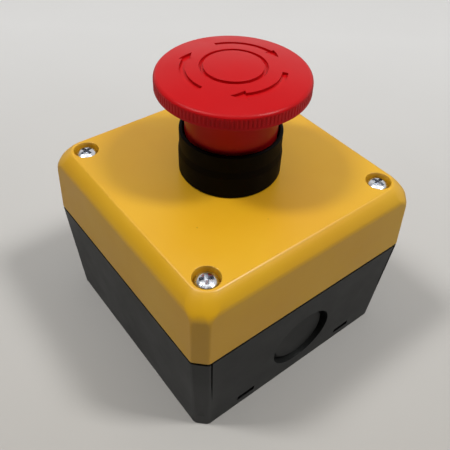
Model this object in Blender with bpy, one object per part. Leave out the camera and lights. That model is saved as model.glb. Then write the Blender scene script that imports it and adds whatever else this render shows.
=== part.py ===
# Emergency stop control station: a push-lock, turn-to-reset mushroom operator on a two-part enclosure.
# Metres, +Z up. The origin is the middle of the base's underside. The +X and -X walls are the cable entries.

import math

import bmesh
import bpy
from mathutils import Matrix, Vector

MM = 0.001

# Clearances
TOUCH_GAP = 0.3 * MM  # between pieces that rest on each other
RUNNING_GAP = 0.4 * MM  # between pieces that slide or turn
CUT_MARGIN = 1.0 * MM  # how far a cutter reaches past the face that it opens
MERGE_DISTANCE = 0.001 * MM

# Enclosure
BOX_SIDE = 76.7 * MM  # across the flats at the parting line, where both halves are widest
BOX_BEVEL = 3.3 * MM  # leg of the flat cut across each upright corner
FOOT_BEVEL = 3.5 * MM
TOP_BEVEL = 3.4 * MM
BEVEL_ROUND = 1.2 * MM  # where a bevel meets a side
FOOT_CHAMFER = 0.5 * MM
SLOPE_RADIUS = 9.5 * MM  # of the bulging slope round the top face
SLOPE_FOOT = 20.0  # degrees above level of the slope's normal at its foot
SLOPE_HEAD = 55.0  # and at the top face
SLOPE_DROP = 1.2 * MM  # of the slope's foot at the corners below its foot at the sides
INNER_CORNER = 2.1 * MM
DRAFT = math.radians(2.5)
BASE_HEIGHT = 35.5 * MM
PARTING_GAP = 0.5 * MM  # the shadow line between the halves
COVER_HEIGHT = 21.4 * MM
WALL = 3.0 * MM
FLOOR = 2.6 * MM
ROOF = 3.0 * MM
TONGUE_WIDTH = 1.3 * MM
TONGUE_HEIGHT = 2.4 * MM
GASKET_HEIGHT = 1.0 * MM
WALL_HOLE_RADIUS = 2.2 * MM
WALL_HOLE_INSET = 12.0 * MM  # from the side at the parting line

# Cable entry walls
GROOVE_INSET = 3.85 * MM  # of the groove at each end of the wall from the drafted side, which it leans with
GROOVE_WIDTH = 0.5 * MM
GROOVE_DEPTH = 0.9 * MM
GROOVE_END = 14.0 * MM
KNOCKOUT_RADIUS = 10.7 * MM
KNOCKOUT_HEIGHT = 16.0 * MM
KNOCKOUT_RECESS = 1.5 * MM
KNOCKOUT_WEB = 1.9 * MM
KNOCKOUT_GROOVE_WIDTH = 1.7 * MM  # of the tear-off groove round the disc
KNOCKOUT_GROOVE_DEPTH = 1.2 * MM
KNOCKOUT_PAD = 2.2 * MM  # width of the thicker ring round the knockout
SLOT_LENGTH = 6.3 * MM
SLOT_HEIGHT = 1.9 * MM
SLOT_DEPTH = 2.0 * MM
SLOT_SPACING = 40.2 * MM
SLOT_RISE = 3.9 * MM

# Cover screws and inserts
SCREW_INSET = 8.72 * MM  # from the side at the parting line
SCREW_RADIUS = 1.5 * MM
SCREW_LENGTH = 30.0 * MM
SCREW_HEAD_RADIUS = 2.65 * MM
COVER_SCREW_HEAD_RADIUS = 2.95 * MM
SCREW_HEAD_HEIGHT = 2.7 * MM
SCREW_CROWN = 0.6 * MM  # rounding of a pan head's edge
SCREW_TIP_CHAMFER = 0.6 * MM
RECESS_ARM = 1.8 * MM
RECESS_WIDTH = 0.9 * MM
RECESS_DEPTH = 1.0 * MM
RECESS_STEP = 0.01 * MM  # between the floors of the two crossed arms
WELL_RADIUS = 3.55 * MM
WELL_DEPTH = 3.3 * MM
BOSS_BITE = 0.3 * MM  # how far a base boss runs into the walls beside it
COLUMN_GAP = 0.6 * MM  # between a cover column and the base's tongue
INSERT_WALL = 0.9 * MM
INSERT_LENGTH = 8.0 * MM

# Operator body, in the cover's hole
HOLE_RADIUS = 11.15 * MM
TUBE_GAP = 0.45 * MM
TUBE_LENGTH = 17.5 * MM  # below the cover's top face
BORE_RADIUS = 7.4 * MM
KEY_WIDTH = 2.8 * MM
KEY_HEIGHT = 0.9 * MM
BEZEL_HEIGHT = 13.5 * MM
BEZEL_WALL = 1.05 * MM
BEZEL_ROUND = 0.5 * MM
LOWER_TIER_STEP = 0.3 * MM
LOWER_TIER_HEIGHT = 6.5 * MM
TIER_TAPER = 2.0 * MM
POCKET_FLOOR = 5.4 * MM
BEZEL_GASKET_HEIGHT = 0.6 * MM
BEZEL_GASKET_WIDTH = 0.95 * MM
LOCK_PLATE_MARGIN = 3.5 * MM  # from its hole to its side
LOCK_PLATE_THICKNESS = 1.2 * MM
LOCK_PLATE_CORNER = 5.0 * MM
NUT_WALL = 3.6 * MM
NUT_HEIGHT = 5.5 * MM
NUT_NOTCHES = 8
NUT_NOTCH_WIDTH = 3.0 * MM
NUT_NOTCH_DEPTH = 1.2 * MM

# Mushroom head, heights from the cover's top face
TRAVEL = 4.0 * MM
HEAD_RADIUS = 20.0 * MM
RIM_TOP = 29.51 * MM
RIM_HEIGHT = 3.83 * MM
EDGE_ROUND = 1.4 * MM
LIP_HEIGHT = 0.4 * MM
DOME_RISE = 1.93 * MM
RIB_COUNT = 120
RIB_DEPTH = 0.3 * MM
SKIRT_RADIUS = 12.75 * MM  # where it meets the rim
SKIRT_DRAFT = math.radians(1.0)
SKIRT_WALL = 1.7 * MM
SKIRT_FILLET = 0.8 * MM
HUB_RADIUS = 6.4 * MM
HUB_LENGTH = 11.2 * MM
CAP_RADIUS = 7.85 * MM
CAP_THICKNESS = 2.4 * MM
CAP_GROOVE_DEPTH = 0.65 * MM  # of the ring groove round the cap
CAP_LEDGE = 0.3 * MM  # of the cap and of the head, on the groove's floor
ARROW_COUNT = 3
ARROW_RADIUS = 12.75 * MM
ARROW_WIDTH = 1.3 * MM
ARROW_HEAD_WIDTH = 2.7 * MM
ARROW_TIP_WIDTH = 0.15 * MM
ARROW_DEPTH = 0.7 * MM
ARROW_TAIL = math.radians(44.5)  # from +X
ARROW_SPAN = math.radians(85.5)
ARROW_HEAD_SPAN = math.radians(15.5)
ARROW_BARB_SPAN = math.radians(0.3)
HEAD_SCREW_LENGTH = 12.0 * MM
HEAD_SCREW_HEAD_HEIGHT = 1.6 * MM

# Stem, pusher and latch
SPIGOT_RADIUS = 3.2 * MM
SPIGOT_DROP = 1.6 * MM  # of the stem's top below the head's ceiling
SHAFT_RADIUS = 5.2 * MM
LOBE_THICKNESS = 1.6 * MM
LOBE_HALF_ANGLE = math.radians(27.0)
PAWL_LEVEL = 2.2 * MM  # underside of the pawls, from the cover's top face
PAWL_THICKNESS = 1.6 * MM
PAWL_WIDTH = 3.6 * MM
PAWL_LENGTH = 2.6 * MM
PAWL_POCKET_WALL = 1.25 * MM  # left between a pocket and the outside of the lower tier
PAWL_SPRING_WIRE = 0.15 * MM
PAWL_SPRING_TURNS = 3
COLLAR_DROP = 7.0 * MM  # from the lobes down to the guide collar
COLLAR_THICKNESS = 2.0 * MM
RESET_SPRING_ROOM = 2.6 * MM  # from the neck out to the collar's rim
NECK_LENGTH = 7.5 * MM
RESET_SPRING_WIRE = 0.4 * MM
RESET_SPRING_TURNS = 4
PUSHER_THICKNESS = 3.7 * MM
PUSHER_KEY_WIDTH = 3.0 * MM
PUSHER_KEY_HEIGHT = 1.7 * MM
KEYWAY_TOP = 6.0 * MM  # below the cover's top face
TAIL_RADIUS = 2.4 * MM
CLIP_THICKNESS = 0.6 * MM
CLIP_RADIUS = 3.3 * MM
CLIP_GROOVE_DEPTH = 0.8 * MM
CLIP_MOUTH = 2.6 * MM
MAIN_SPRING_WIRE = 0.55 * MM
MAIN_SPRING_TURNS = 7

# Contact blocks, under an adaptor on the end of the tube
ADAPTOR_WALL = 2.0 * MM
ADAPTOR_FLOOR = 2.0 * MM
ADAPTOR_CHEEK = 1.5 * MM
ADAPTOR_CHEEK_DROP = 10.0 * MM
ADAPTOR_CHEEK_WIDTH = 9.0 * MM
BLOCK_WIDTH = 10.0 * MM
BLOCK_LENGTH = 28.0 * MM
BLOCK_HEIGHT = 23.0 * MM
BLOCK_WALL = 1.4 * MM
BLOCK_ROOF = 3.0 * MM
BLOCK_CORE_LENGTH = 15.4 * MM
SHOULDER_DROP = 10.4 * MM  # of the terminal shoulders below the block's top
TERMINAL_WIDTH = 5.0 * MM
TERMINAL_THICKNESS = 0.8 * MM
TERMINAL_GAP = 5.2 * MM  # between the two fixed terminals
TERMINAL_SCREW_INSET = 3.1 * MM  # from the block's end
TERMINAL_SCREW_LENGTH = 7.4 * MM
TERMINAL_HEAD_HEIGHT = 1.8 * MM
BRIDGE_LENGTH = 11.2 * MM
BRIDGE_WIDTH = 4.4 * MM
BRIDGE_THICKNESS = 0.8 * MM
TIP_RADIUS = 1.1 * MM
TIP_HEIGHT = 0.4 * MM
TIP_SPACING = 8.4 * MM
PLUNGER_RADIUS = 1.5 * MM
PLUNGER_NOSE_RADIUS = 0.9 * MM
PLUNGER_NOSE_LENGTH = 2.9 * MM
CONTACT_SPRING_RADIUS = 2.3 * MM
CONTACT_SPRING_WIRE = 0.3 * MM
CONTACT_SPRING_TURNS = 5

# Facets
TURNED_SIDES = 48
WELL_SIDES = 24
SMALL_SIDES = 16
SHANK_SIDES = 12
CORNER_STEPS = 6
BEVEL_STEPS = 3
DOME_STEPS = 4
ARROW_STEPS = 10
ROUND_STEPS = 3
SLOPE_STEPS = 5
WIRE_SIDES = 6
COIL_POINTS = 8

# Heights and sizes that follow from the above
BASE_SIDE_HALF = BOX_SIDE / 2
COVER_FOOT = BASE_HEIGHT + PARTING_GAP
TOP = COVER_FOOT + COVER_HEIGHT
PARTING = BASE_HEIGHT + PARTING_GAP / 2
INNER_HALF = BASE_SIDE_HALF - WALL
TONGUE_HALF = INNER_HALF + TONGUE_WIDTH
TONGUE_TOP = BASE_HEIGHT + TONGUE_HEIGHT
GASKET_FOOT = TONGUE_TOP + TOUCH_GAP
RABBET_ROOF = GASKET_FOOT + GASKET_HEIGHT + TOUCH_GAP
SCREW_PLACE = BASE_SIDE_HALF - SCREW_INSET
SCREW_PLACES = [(x * SCREW_PLACE, y * SCREW_PLACE) for x, y in ((1, 1), (-1, 1), (-1, -1), (1, -1))]
TUBE_RADIUS = HOLE_RADIUS - TUBE_GAP
TUBE_RING_BORE = TUBE_RADIUS + TOUCH_GAP
NUT_RADIUS = TUBE_RING_BORE + NUT_WALL
RIM_FOOT = RIM_TOP - RIM_HEIGHT
SKIRT_FOOT = POCKET_FLOOR + TRAVEL + 2 * TOUCH_GAP
BEZEL_MOUTH = SKIRT_RADIUS - math.tan(SKIRT_DRAFT) * (RIM_FOOT - TRAVEL - BEZEL_HEIGHT) + RUNNING_GAP
BEZEL_RADIUS = BEZEL_MOUTH + BEZEL_WALL
BEZEL_GASKET_BORE = HOLE_RADIUS + KEY_HEIGHT
BEZEL_GASKET_RADIUS = BEZEL_GASKET_BORE + BEZEL_GASKET_WIDTH
TIER_RADIUS = max(BEZEL_RADIUS + LOWER_TIER_STEP, BEZEL_GASKET_RADIUS + TOUCH_GAP + BEZEL_WALL)
PAWL_POCKET_REACH = TIER_RADIUS - PAWL_POCKET_WALL
SKIRT_FOOT_RADIUS = SKIRT_RADIUS - math.tan(SKIRT_DRAFT) * (RIM_FOOT - SKIRT_FOOT)
LOBE_FOOT = PAWL_LEVEL + PAWL_THICKNESS + TOUCH_GAP
GUIDE_RADIUS = BORE_RADIUS - RUNNING_GAP
NECK_RADIUS = GUIDE_RADIUS - RESET_SPRING_ROOM
COLLAR_TOP = LOBE_FOOT - COLLAR_DROP
NECK_TOP = COLLAR_TOP - COLLAR_THICKNESS
NECK_FOOT = NECK_TOP - NECK_LENGTH
PUSHER_TOP = NECK_FOOT - TOUCH_GAP
PUSHER_FOOT = PUSHER_TOP - PUSHER_THICKNESS
CLIP_TOP = PUSHER_FOOT - TOUCH_GAP
TAIL_FOOT = CLIP_TOP - CLIP_THICKNESS - 2 * TOUCH_GAP - CLIP_THICKNESS
HUB_FOOT = RIM_FOOT - HUB_LENGTH
SHAFT_TOP = HUB_FOOT - TOUCH_GAP
DOME_RADIUS = ((HEAD_RADIUS - EDGE_ROUND) ** 2 + DOME_RISE**2) / (2 * DOME_RISE)
APEX = RIM_TOP + DOME_RISE
CAP_FOOT = APEX - CAP_THICKNESS
CAP_SEAT = CAP_FOOT - TOUCH_GAP
HEAD_SCREW_TOP = CAP_SEAT
HEAD_SCREW_SEAT = HEAD_SCREW_TOP - HEAD_SCREW_HEAD_HEIGHT
SPIGOT_TOP = RIM_FOOT - SPIGOT_DROP
ADAPTOR_TOP = -ROOF - TOUCH_GAP - LOCK_PLATE_THICKNESS - TOUCH_GAP - NUT_HEIGHT - TOUCH_GAP
ADAPTOR_SEAT = TAIL_FOOT - TRAVEL - TOUCH_GAP
BLOCK_TOP = ADAPTOR_SEAT - ADAPTOR_FLOOR - TOUCH_GAP
BLOCK_PLACE = (BLOCK_WIDTH + RUNNING_GAP) / 2
PLUNGER_TOP = PUSHER_FOOT - TOUCH_GAP - BLOCK_TOP
TERMINAL_FOOT = TOUCH_GAP - SHOULDER_DROP
TIP_TOP = TERMINAL_FOOT - TOUCH_GAP
BRIDGE_TOP = TIP_TOP - TIP_HEIGHT
BRIDGE_FOOT = BRIDGE_TOP - BRIDGE_THICKNESS


def clear_scene():
    for obj in list(bpy.data.objects):
        bpy.data.objects.remove(obj)


def principled(name, color, roughness, metallic=0.0):
    material = bpy.data.materials.new(name)
    material.use_nodes = True
    shader = material.node_tree.nodes["Principled BSDF"]
    shader.inputs["Base Color"].default_value = (*color, 1.0)
    shader.inputs["Roughness"].default_value = roughness
    shader.inputs["Metallic"].default_value = metallic
    return material


def solid(bm):
    bmesh.ops.remove_doubles(bm, verts=bm.verts, dist=MERGE_DISTANCE)
    bmesh.ops.recalc_face_normals(bm, faces=bm.faces)
    mesh = bpy.data.meshes.new("shape")
    bm.to_mesh(mesh)
    bm.free()
    obj = bpy.data.objects.new("shape", mesh)
    bpy.context.scene.collection.objects.link(obj)
    return obj


def combine(obj, others, operation):
    for other in others:
        modifier = obj.modifiers.new("combine", "BOOLEAN")
        modifier.operation = operation
        modifier.solver = "EXACT"
        modifier.object = other
    graph = bpy.context.evaluated_depsgraph_get()
    obj.data = bpy.data.meshes.new_from_object(obj.evaluated_get(graph))
    obj.modifiers.clear()
    for other in others:
        bpy.data.objects.remove(other)
    return obj


def cut(obj, *others):
    return combine(obj, others, "DIFFERENCE")


def join(obj, *others):
    return combine(obj, others, "UNION")


def place(obj, name, material, parent=None, location=(0, 0, 0), turn=0.0):
    obj.name = name
    obj.data.name = name
    obj.data.materials.clear()
    obj.data.materials.append(material)
    obj.data.shade_smooth()
    obj.data.set_sharp_from_angle(angle=math.radians(35))
    obj.parent = parent
    obj.location = location
    obj.rotation_euler.z = turn
    return obj


def axis_empty(name, location, parent=None):
    empty = bpy.data.objects.new(name, None)
    bpy.context.scene.collection.objects.link(empty)
    empty.empty_display_size = 5 * MM
    empty.parent = parent
    empty.location = location
    return empty


def arc(center, radius, start, end, steps):
    angles = [math.radians(start + (end - start) * i / steps) for i in range(steps + 1)]
    return [(center[0] + radius * math.cos(a), center[1] + radius * math.sin(a)) for a in angles]


def ring(bm, radii, height, sides):
    turns = [2 * math.pi * i / sides for i in range(sides)]
    return [
        bm.verts.new((radii[i % len(radii)] * math.cos(a), radii[i % len(radii)] * math.sin(a), height))
        for i, a in enumerate(turns)
    ]


def fan(bm, low, high):
    # Joins a ring to one with a whole multiple of its points
    many = len(high) // len(low)
    half = many // 2
    for i, first in enumerate(low):
        second = low[(i + 1) % len(low)]
        run = [high[(i * many + j) % len(high)] for j in range(many + 1)]
        for j in range(many):
            bm.faces.new((first if j < half else second, run[j], run[j + 1]))
        bm.faces.new((first, run[half], second))


def strip(bm, one, two):
    if len(one) == 1 or len(two) == 1:
        point, loop = (one[0], two) if len(one) == 1 else (two[0], one)
        for i, vert in enumerate(loop):
            bm.faces.new((point, vert, loop[(i + 1) % len(loop)]))
    elif len(one) == len(two):
        for i in range(len(one)):
            j = (i + 1) % len(one)
            bm.faces.new((one[i], one[j], two[j], two[i]))
    else:
        fan(bm, *sorted((one, two), key=len))


def turned(profile, sides=TURNED_SIDES, ribs=None):
    # Turns a closed outline of (radius, height) points. ribs gives some points a ring of alternating radii.
    bm = bmesh.new()
    loops = []
    for index, (radius, height) in enumerate(profile):
        if ribs and index in ribs:
            loops.append(ring(bm, (radius, radius - RIB_DEPTH), height, 2 * RIB_COUNT))
        elif radius <= 0:
            loops.append([bm.verts.new((0, 0, height))])
        else:
            loops.append(ring(bm, (radius,), height, sides))
    for index, loop in enumerate(loops):
        following = loops[(index + 1) % len(loops)]
        if len(loop) > 1 or len(following) > 1:
            strip(bm, loop, following)
    return bm


def cylinder(radius, foot, top, sides=SMALL_SIDES, middle=(0, 0)):
    bm = turned([(0, foot), (radius, foot), (radius, top), (0, top)], sides)
    bmesh.ops.translate(bm, verts=bm.verts, vec=(*middle, 0))
    return bm


def tube(inner, outer, foot, top, sides=TURNED_SIDES):
    return solid(turned([(inner, foot), (outer, foot), (outer, top), (inner, top)], sides))


def along_x(bm):
    bmesh.ops.rotate(bm, verts=bm.verts, matrix=Matrix.Rotation(math.radians(90), 3, "Y"))
    return bm


def box(low, high):
    bm = bmesh.new()
    size = Vector(high) - Vector(low)
    middle = (Vector(high) + Vector(low)) / 2
    bmesh.ops.create_cube(bm, size=1.0, matrix=Matrix.LocRotScale(middle, None, size))
    return bm


def turned_about_z(bm, angle):
    bmesh.ops.rotate(bm, verts=bm.verts, matrix=Matrix.Rotation(angle, 3, "Z"))
    return bm


def square_outline(half, corner):
    points = []
    reach = half - corner
    for quarter, (x, y) in enumerate(((1, 1), (-1, 1), (-1, -1), (1, -1))):
        points += arc((x * reach, y * reach), corner, quarter * 90, quarter * 90 + 90, CORNER_STEPS)
    return points


def bevelled_outline(half, leg):
    # A square with its corners cut off, and the edges of the cuts rounded
    points = []
    inset = leg + BEVEL_ROUND * math.tan(math.pi / 8)
    quarter = arc((half - BEVEL_ROUND, half - inset), BEVEL_ROUND, 0, 45, BEVEL_STEPS)
    quarter += arc((half - inset, half - BEVEL_ROUND), BEVEL_ROUND, 45, 90, BEVEL_STEPS)
    for c, s in ((1, 0), (0, 1), (-1, 0), (0, -1)):
        points += [(x * c - y * s, x * s + y * c) for x, y in quarter]
    return points


def loft(sections):
    # Stacks outlines of equal length, given as (outline, height), into a closed solid
    bm = bmesh.new()
    loops = [[bm.verts.new((x, y, height)) for x, y in outline] for outline, height in sections]
    for one, two in zip(loops, loops[1:]):
        strip(bm, one, two)
    bm.faces.new(loops[0])
    bm.faces.new(loops[-1])
    return bm


def prism(outline, foot, top):
    return loft([(outline, foot), (outline, top)])


def drafted_half(height):
    # Half the box's width at a height: both halves narrow away from the parting line
    return BASE_SIDE_HALF - math.tan(DRAFT) * abs(height - PARTING)


def coil(name, radius, wire, foot, top, turns):
    # One unbroken wire round Z. Its least gap to itself is measured on its points.
    count = turns * COIL_POINTS + 1
    low = foot + wire
    rise = top - foot - 2 * wire
    path = []
    for i in range(count):
        a = 2 * math.pi * i / COIL_POINTS
        path.append(Vector((radius * math.cos(a), radius * math.sin(a), low + rise * i / (count - 1))))
    slope = math.atan2(rise / turns, 2 * math.pi * radius)
    bm = bmesh.new()
    loops = []
    for point in path:
        outward = Vector((point.x, point.y, 0)).normalized()
        along = Vector((-outward.y * math.cos(slope), outward.x * math.cos(slope), math.sin(slope)))
        across = along.cross(outward)
        loop = []
        for side in range(WIRE_SIDES):
            a = 2 * math.pi * side / WIRE_SIDES
            loop.append(bm.verts.new(point + wire * (math.cos(a) * outward + math.sin(a) * across)))
        loops.append(loop)
    for one, two in zip(loops, loops[1:]):
        strip(bm, one, two)
    bm.faces.new(loops[0])
    bm.faces.new(loops[-1])
    half_turn = COIL_POINTS // 2
    gaps = [(a - b).length for i, a in enumerate(path) for b in path[i + half_turn + 1 :]]
    print(f"{name}: least gap to itself {(min(gaps) - 2 * wire) / MM:.2f} mm")
    return bm


def pan_screw(shank, length, head, head_height):
    # Head's underside at height 0, a crossed recess in its top
    crown = arc((head - SCREW_CROWN, head_height - SCREW_CROWN), SCREW_CROWN, 0, 90, ROUND_STEPS)
    outline = [
        (0, -length),
        (shank - SCREW_TIP_CHAMFER, -length),
        (shank, SCREW_TIP_CHAMFER - length),
        (shank, 0),
        (head, 0),
        *crown,
        (0, head_height),
    ]
    body = solid(turned(outline, SMALL_SIDES))
    half = RECESS_WIDTH / 2
    floor = head_height - RECESS_DEPTH
    above = head_height + CUT_MARGIN
    recess = solid(box((-RECESS_ARM, -half, floor), (RECESS_ARM, half, above)))
    crossing = solid(box((-half, -RECESS_ARM, floor + RECESS_STEP), (half, RECESS_ARM, above + CUT_MARGIN)))
    return cut(body, join(recess, crossing))


def base_shell():
    foot_half = drafted_half(0)
    body = solid(
        loft(
            [
                (bevelled_outline(foot_half - FOOT_CHAMFER, FOOT_BEVEL), 0),
                (bevelled_outline(drafted_half(FOOT_CHAMFER), FOOT_BEVEL), FOOT_CHAMFER),
                (bevelled_outline(drafted_half(BASE_HEIGHT), BOX_BEVEL), BASE_HEIGHT),
            ]
        )
    )
    tongue = square_outline(TONGUE_HALF, INNER_CORNER + TONGUE_WIDTH)
    join(body, solid(prism(tongue, FLOOR + WALL, TONGUE_TOP)))
    cut(
        body,
        solid(
            loft(
                [
                    (square_outline(drafted_half(FLOOR) - WALL, INNER_CORNER), FLOOR),
                    (square_outline(INNER_HALF, INNER_CORNER), BASE_HEIGHT),
                    (square_outline(INNER_HALF, INNER_CORNER), TONGUE_TOP + CUT_MARGIN),
                ]
            )
        ),
    )
    boss = INNER_HALF - SCREW_PLACE + BOSS_BITE
    join(body, *[solid(cylinder(boss, FLOOR / 2, BASE_HEIGHT, SMALL_SIDES, at)) for at in SCREW_PLACES])
    pocket = SCREW_RADIUS + INSERT_WALL + 2 * TOUCH_GAP
    screw_tip = TOP - WELL_DEPTH + TOUCH_GAP - SCREW_LENGTH
    cut(
        body,
        *[
            solid(cylinder(pocket, screw_tip - CUT_MARGIN, BASE_HEIGHT + CUT_MARGIN, SMALL_SIDES, at))
            for at in SCREW_PLACES
        ],
    )
    wall_hole = BASE_SIDE_HALF - WALL_HOLE_INSET
    for side in (1, -1):
        hole = cylinder(WALL_HOLE_RADIUS, -CUT_MARGIN, FLOOR + CUT_MARGIN, SMALL_SIDES, (0, side * wall_hole))
        cut(body, solid(hole))
        cable_entry(body, side)
    return body


def cable_entry(body, side):
    # One end wall's knockout, its two low slots and an upright groove near each corner that fades out downwards
    web_face = drafted_half(KNOCKOUT_HEIGHT) - KNOCKOUT_RECESS
    pad_face = web_face - KNOCKOUT_WEB
    outside = BASE_SIDE_HALF + CUT_MARGIN
    above = BASE_HEIGHT + CUT_MARGIN
    disc = KNOCKOUT_RADIUS - KNOCKOUT_GROOVE_WIDTH
    groove_floor = web_face - KNOCKOUT_GROOVE_DEPTH
    pad = along_x(cylinder(KNOCKOUT_RADIUS + KNOCKOUT_PAD, pad_face, pad_face + WALL / 2, TURNED_SIDES // 2))
    profile = [
        (0, web_face),
        (disc, web_face),
        (disc, groove_floor),
        (KNOCKOUT_RADIUS, groove_floor),
        (KNOCKOUT_RADIUS, outside),
        (0, outside),
    ]
    recess = along_x(turned(profile))
    for shape in (pad, recess):
        bmesh.ops.translate(shape, verts=shape.verts, vec=(0, 0, KNOCKOUT_HEIGHT))
    cutters = [recess]
    slot_floor = drafted_half(SLOT_RISE) - SLOT_DEPTH
    for y in (SLOT_SPACING / 2, -SLOT_SPACING / 2):
        low = (slot_floor, y - SLOT_LENGTH / 2, SLOT_RISE - SLOT_HEIGHT / 2)
        cutters.append(box(low, (outside, y + SLOT_LENGTH / 2, SLOT_RISE + SLOT_HEIGHT / 2)))
    for end in (1, -1):
        wedge = bmesh.new()
        outline = [
            (drafted_half(GROOVE_END), GROOVE_END),
            (outside, GROOVE_END),
            (outside, above),
            (BASE_SIDE_HALF - GROOVE_DEPTH, above),
        ]
        loops = [
            [wedge.verts.new((x, end * (drafted_half(z) - inset), z)) for x, z in outline]
            for inset in (GROOVE_INSET, GROOVE_INSET + GROOVE_WIDTH)
        ]
        strip(wedge, *loops)
        wedge.faces.new(loops[0])
        wedge.faces.new(loops[1])
        cutters.append(wedge)
    turn = 0 if side > 0 else math.pi
    join(body, solid(turned_about_z(pad, turn)))
    for cutter in cutters:
        cut(body, solid(turned_about_z(cutter, turn)))


def cover_shell():
    rise = [SLOPE_RADIUS * math.sin(math.radians(angle)) for angle in (SLOPE_FOOT, SLOPE_HEAD)]
    shoulder = TOP - (rise[1] - rise[0])
    corner_foot = shoulder - SLOPE_DROP
    middle = (drafted_half(shoulder) - SLOPE_RADIUS * math.cos(math.radians(SLOPE_FOOT)), shoulder - rise[0])
    sections = [(bevelled_outline(drafted_half(z), BOX_BEVEL), z) for z in (COVER_FOOT, corner_foot)]
    for x, z in arc(middle, SLOPE_RADIUS, SLOPE_FOOT, SLOPE_HEAD, SLOPE_STEPS):
        sections.append((bevelled_outline(x, TOP_BEVEL), z))
    body = solid(loft(sections))
    inside_top = TOP - ROOF
    inside_half = drafted_half(inside_top) - WALL
    cut(
        body,
        solid(
            loft(
                [
                    (square_outline(INNER_HALF, INNER_CORNER), COVER_FOOT - CUT_MARGIN),
                    (square_outline(inside_half, INNER_CORNER), inside_top),
                ]
            )
        ),
        solid(
            prism(
                square_outline(TONGUE_HALF + TOUCH_GAP, INNER_CORNER + TONGUE_WIDTH + TOUCH_GAP),
                COVER_FOOT - 2 * CUT_MARGIN,
                RABBET_ROOF,
            )
        ),
    )
    column = INNER_HALF - COLUMN_GAP - SCREW_PLACE
    join(body, *[solid(cylinder(column, COVER_FOOT, TOP - ROOF / 2, SMALL_SIDES, at)) for at in SCREW_PLACES])
    shank_hole = SCREW_RADIUS + TOUCH_GAP
    below = COVER_FOOT - CUT_MARGIN
    above = TOP + CUT_MARGIN
    for at in SCREW_PLACES:
        cut(body, solid(cylinder(shank_hole, below, above, SHANK_SIDES, at)))
        cut(body, solid(cylinder(WELL_RADIUS, TOP - WELL_DEPTH, above, WELL_SIDES, at)))
    hole = solid(cylinder(HOLE_RADIUS, inside_top - CUT_MARGIN, above, TURNED_SIDES))
    notch_half = KEY_WIDTH / 2 + TOUCH_GAP
    notch_end = HOLE_RADIUS + KEY_HEIGHT
    notch_low = (-notch_half, BORE_RADIUS, inside_top - 2 * CUT_MARGIN)
    notch = solid(box(notch_low, (notch_half, notch_end, above + CUT_MARGIN)))
    return cut(body, join(hole, notch))


def square_ring(outer_half, inner_half, outer_corner, inner_corner, foot, top):
    body = solid(prism(square_outline(outer_half, outer_corner), foot, top))
    bore = prism(square_outline(inner_half, inner_corner), foot - CUT_MARGIN, top + CUT_MARGIN)
    return cut(body, solid(bore))


def build_enclosure(materials):
    place(base_shell(), "base", materials["grey"])
    place(cover_shell(), "cover", materials["yellow"])
    gasket = square_ring(
        TONGUE_HALF,
        INNER_HALF,
        INNER_CORNER + TONGUE_WIDTH,
        INNER_CORNER,
        GASKET_FOOT,
        GASKET_FOOT + GASKET_HEIGHT,
    )
    place(gasket, "cover_gasket", materials["rubber"])
    head_seat = TOP - WELL_DEPTH + TOUCH_GAP
    insert_bore = SCREW_RADIUS + TOUCH_GAP
    for number, (x, y) in enumerate(SCREW_PLACES, 1):
        screw = pan_screw(SCREW_RADIUS, SCREW_LENGTH, COVER_SCREW_HEAD_RADIUS, SCREW_HEAD_HEIGHT)
        place(screw, f"cover_screw_{number}", materials["zinc"], None, (x, y, head_seat))
        insert = tube(insert_bore, insert_bore + INSERT_WALL, -INSERT_LENGTH, 0, SMALL_SIDES)
        place(insert, f"boss_insert_{number}", materials["brass"], None, (x, y, BASE_HEIGHT - TOUCH_GAP))


def operator_body():
    gasket_out = BEZEL_GASKET_RADIUS + TOUCH_GAP
    recess_roof = 2 * TOUCH_GAP + BEZEL_GASKET_HEIGHT
    top_round = arc((BEZEL_RADIUS - BEZEL_ROUND, BEZEL_HEIGHT - BEZEL_ROUND), BEZEL_ROUND, 90, 0, 3)
    outline = [
        (BEZEL_MOUTH, BEZEL_HEIGHT),
        *top_round,
        (BEZEL_RADIUS, LOWER_TIER_HEIGHT + TIER_TAPER),
        (TIER_RADIUS, LOWER_TIER_HEIGHT),
        (TIER_RADIUS, TOUCH_GAP),
        (gasket_out, TOUCH_GAP),
        (gasket_out, recess_roof),
        (TUBE_RADIUS, recess_roof),
        (TUBE_RADIUS, -TUBE_LENGTH),
        (BORE_RADIUS, -TUBE_LENGTH),
        (BORE_RADIUS, POCKET_FLOOR),
        (BEZEL_MOUTH, POCKET_FLOOR),
    ]
    body = solid(turned(outline))
    key_end = HOLE_RADIUS + KEY_HEIGHT - TOUCH_GAP
    key_low = (-KEY_WIDTH / 2, BORE_RADIUS + TOUCH_GAP, -ROOF)
    join(body, solid(box(key_low, (KEY_WIDTH / 2, key_end, recess_roof + CUT_MARGIN))))
    pawl_half = PAWL_WIDTH / 2 + TOUCH_GAP
    keyway_half = PUSHER_KEY_WIDTH / 2 + RUNNING_GAP
    keyway_end = GUIDE_RADIUS + PUSHER_KEY_HEIGHT + RUNNING_GAP
    pawl_low = PAWL_LEVEL - TOUCH_GAP
    pawl_high = PAWL_LEVEL + PAWL_THICKNESS + TOUCH_GAP
    keyway_foot = -TUBE_LENGTH - CUT_MARGIN
    for turn in (0, math.pi):
        pocket = box((0, -pawl_half, pawl_low), (PAWL_POCKET_REACH, pawl_half, pawl_high))
        keyway = box((0, -keyway_half, keyway_foot), (keyway_end, keyway_half, -KEYWAY_TOP))
        cut(body, solid(turned_about_z(pocket, turn)))
        cut(body, solid(turned_about_z(keyway, turn + math.pi / 2)))
        relief = cylinder(PLUNGER_RADIUS + RUNNING_GAP, keyway_foot, PUSHER_FOOT, SMALL_SIDES, (BLOCK_PLACE, 0))
        cut(body, solid(turned_about_z(relief, turn)))
    return body


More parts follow.
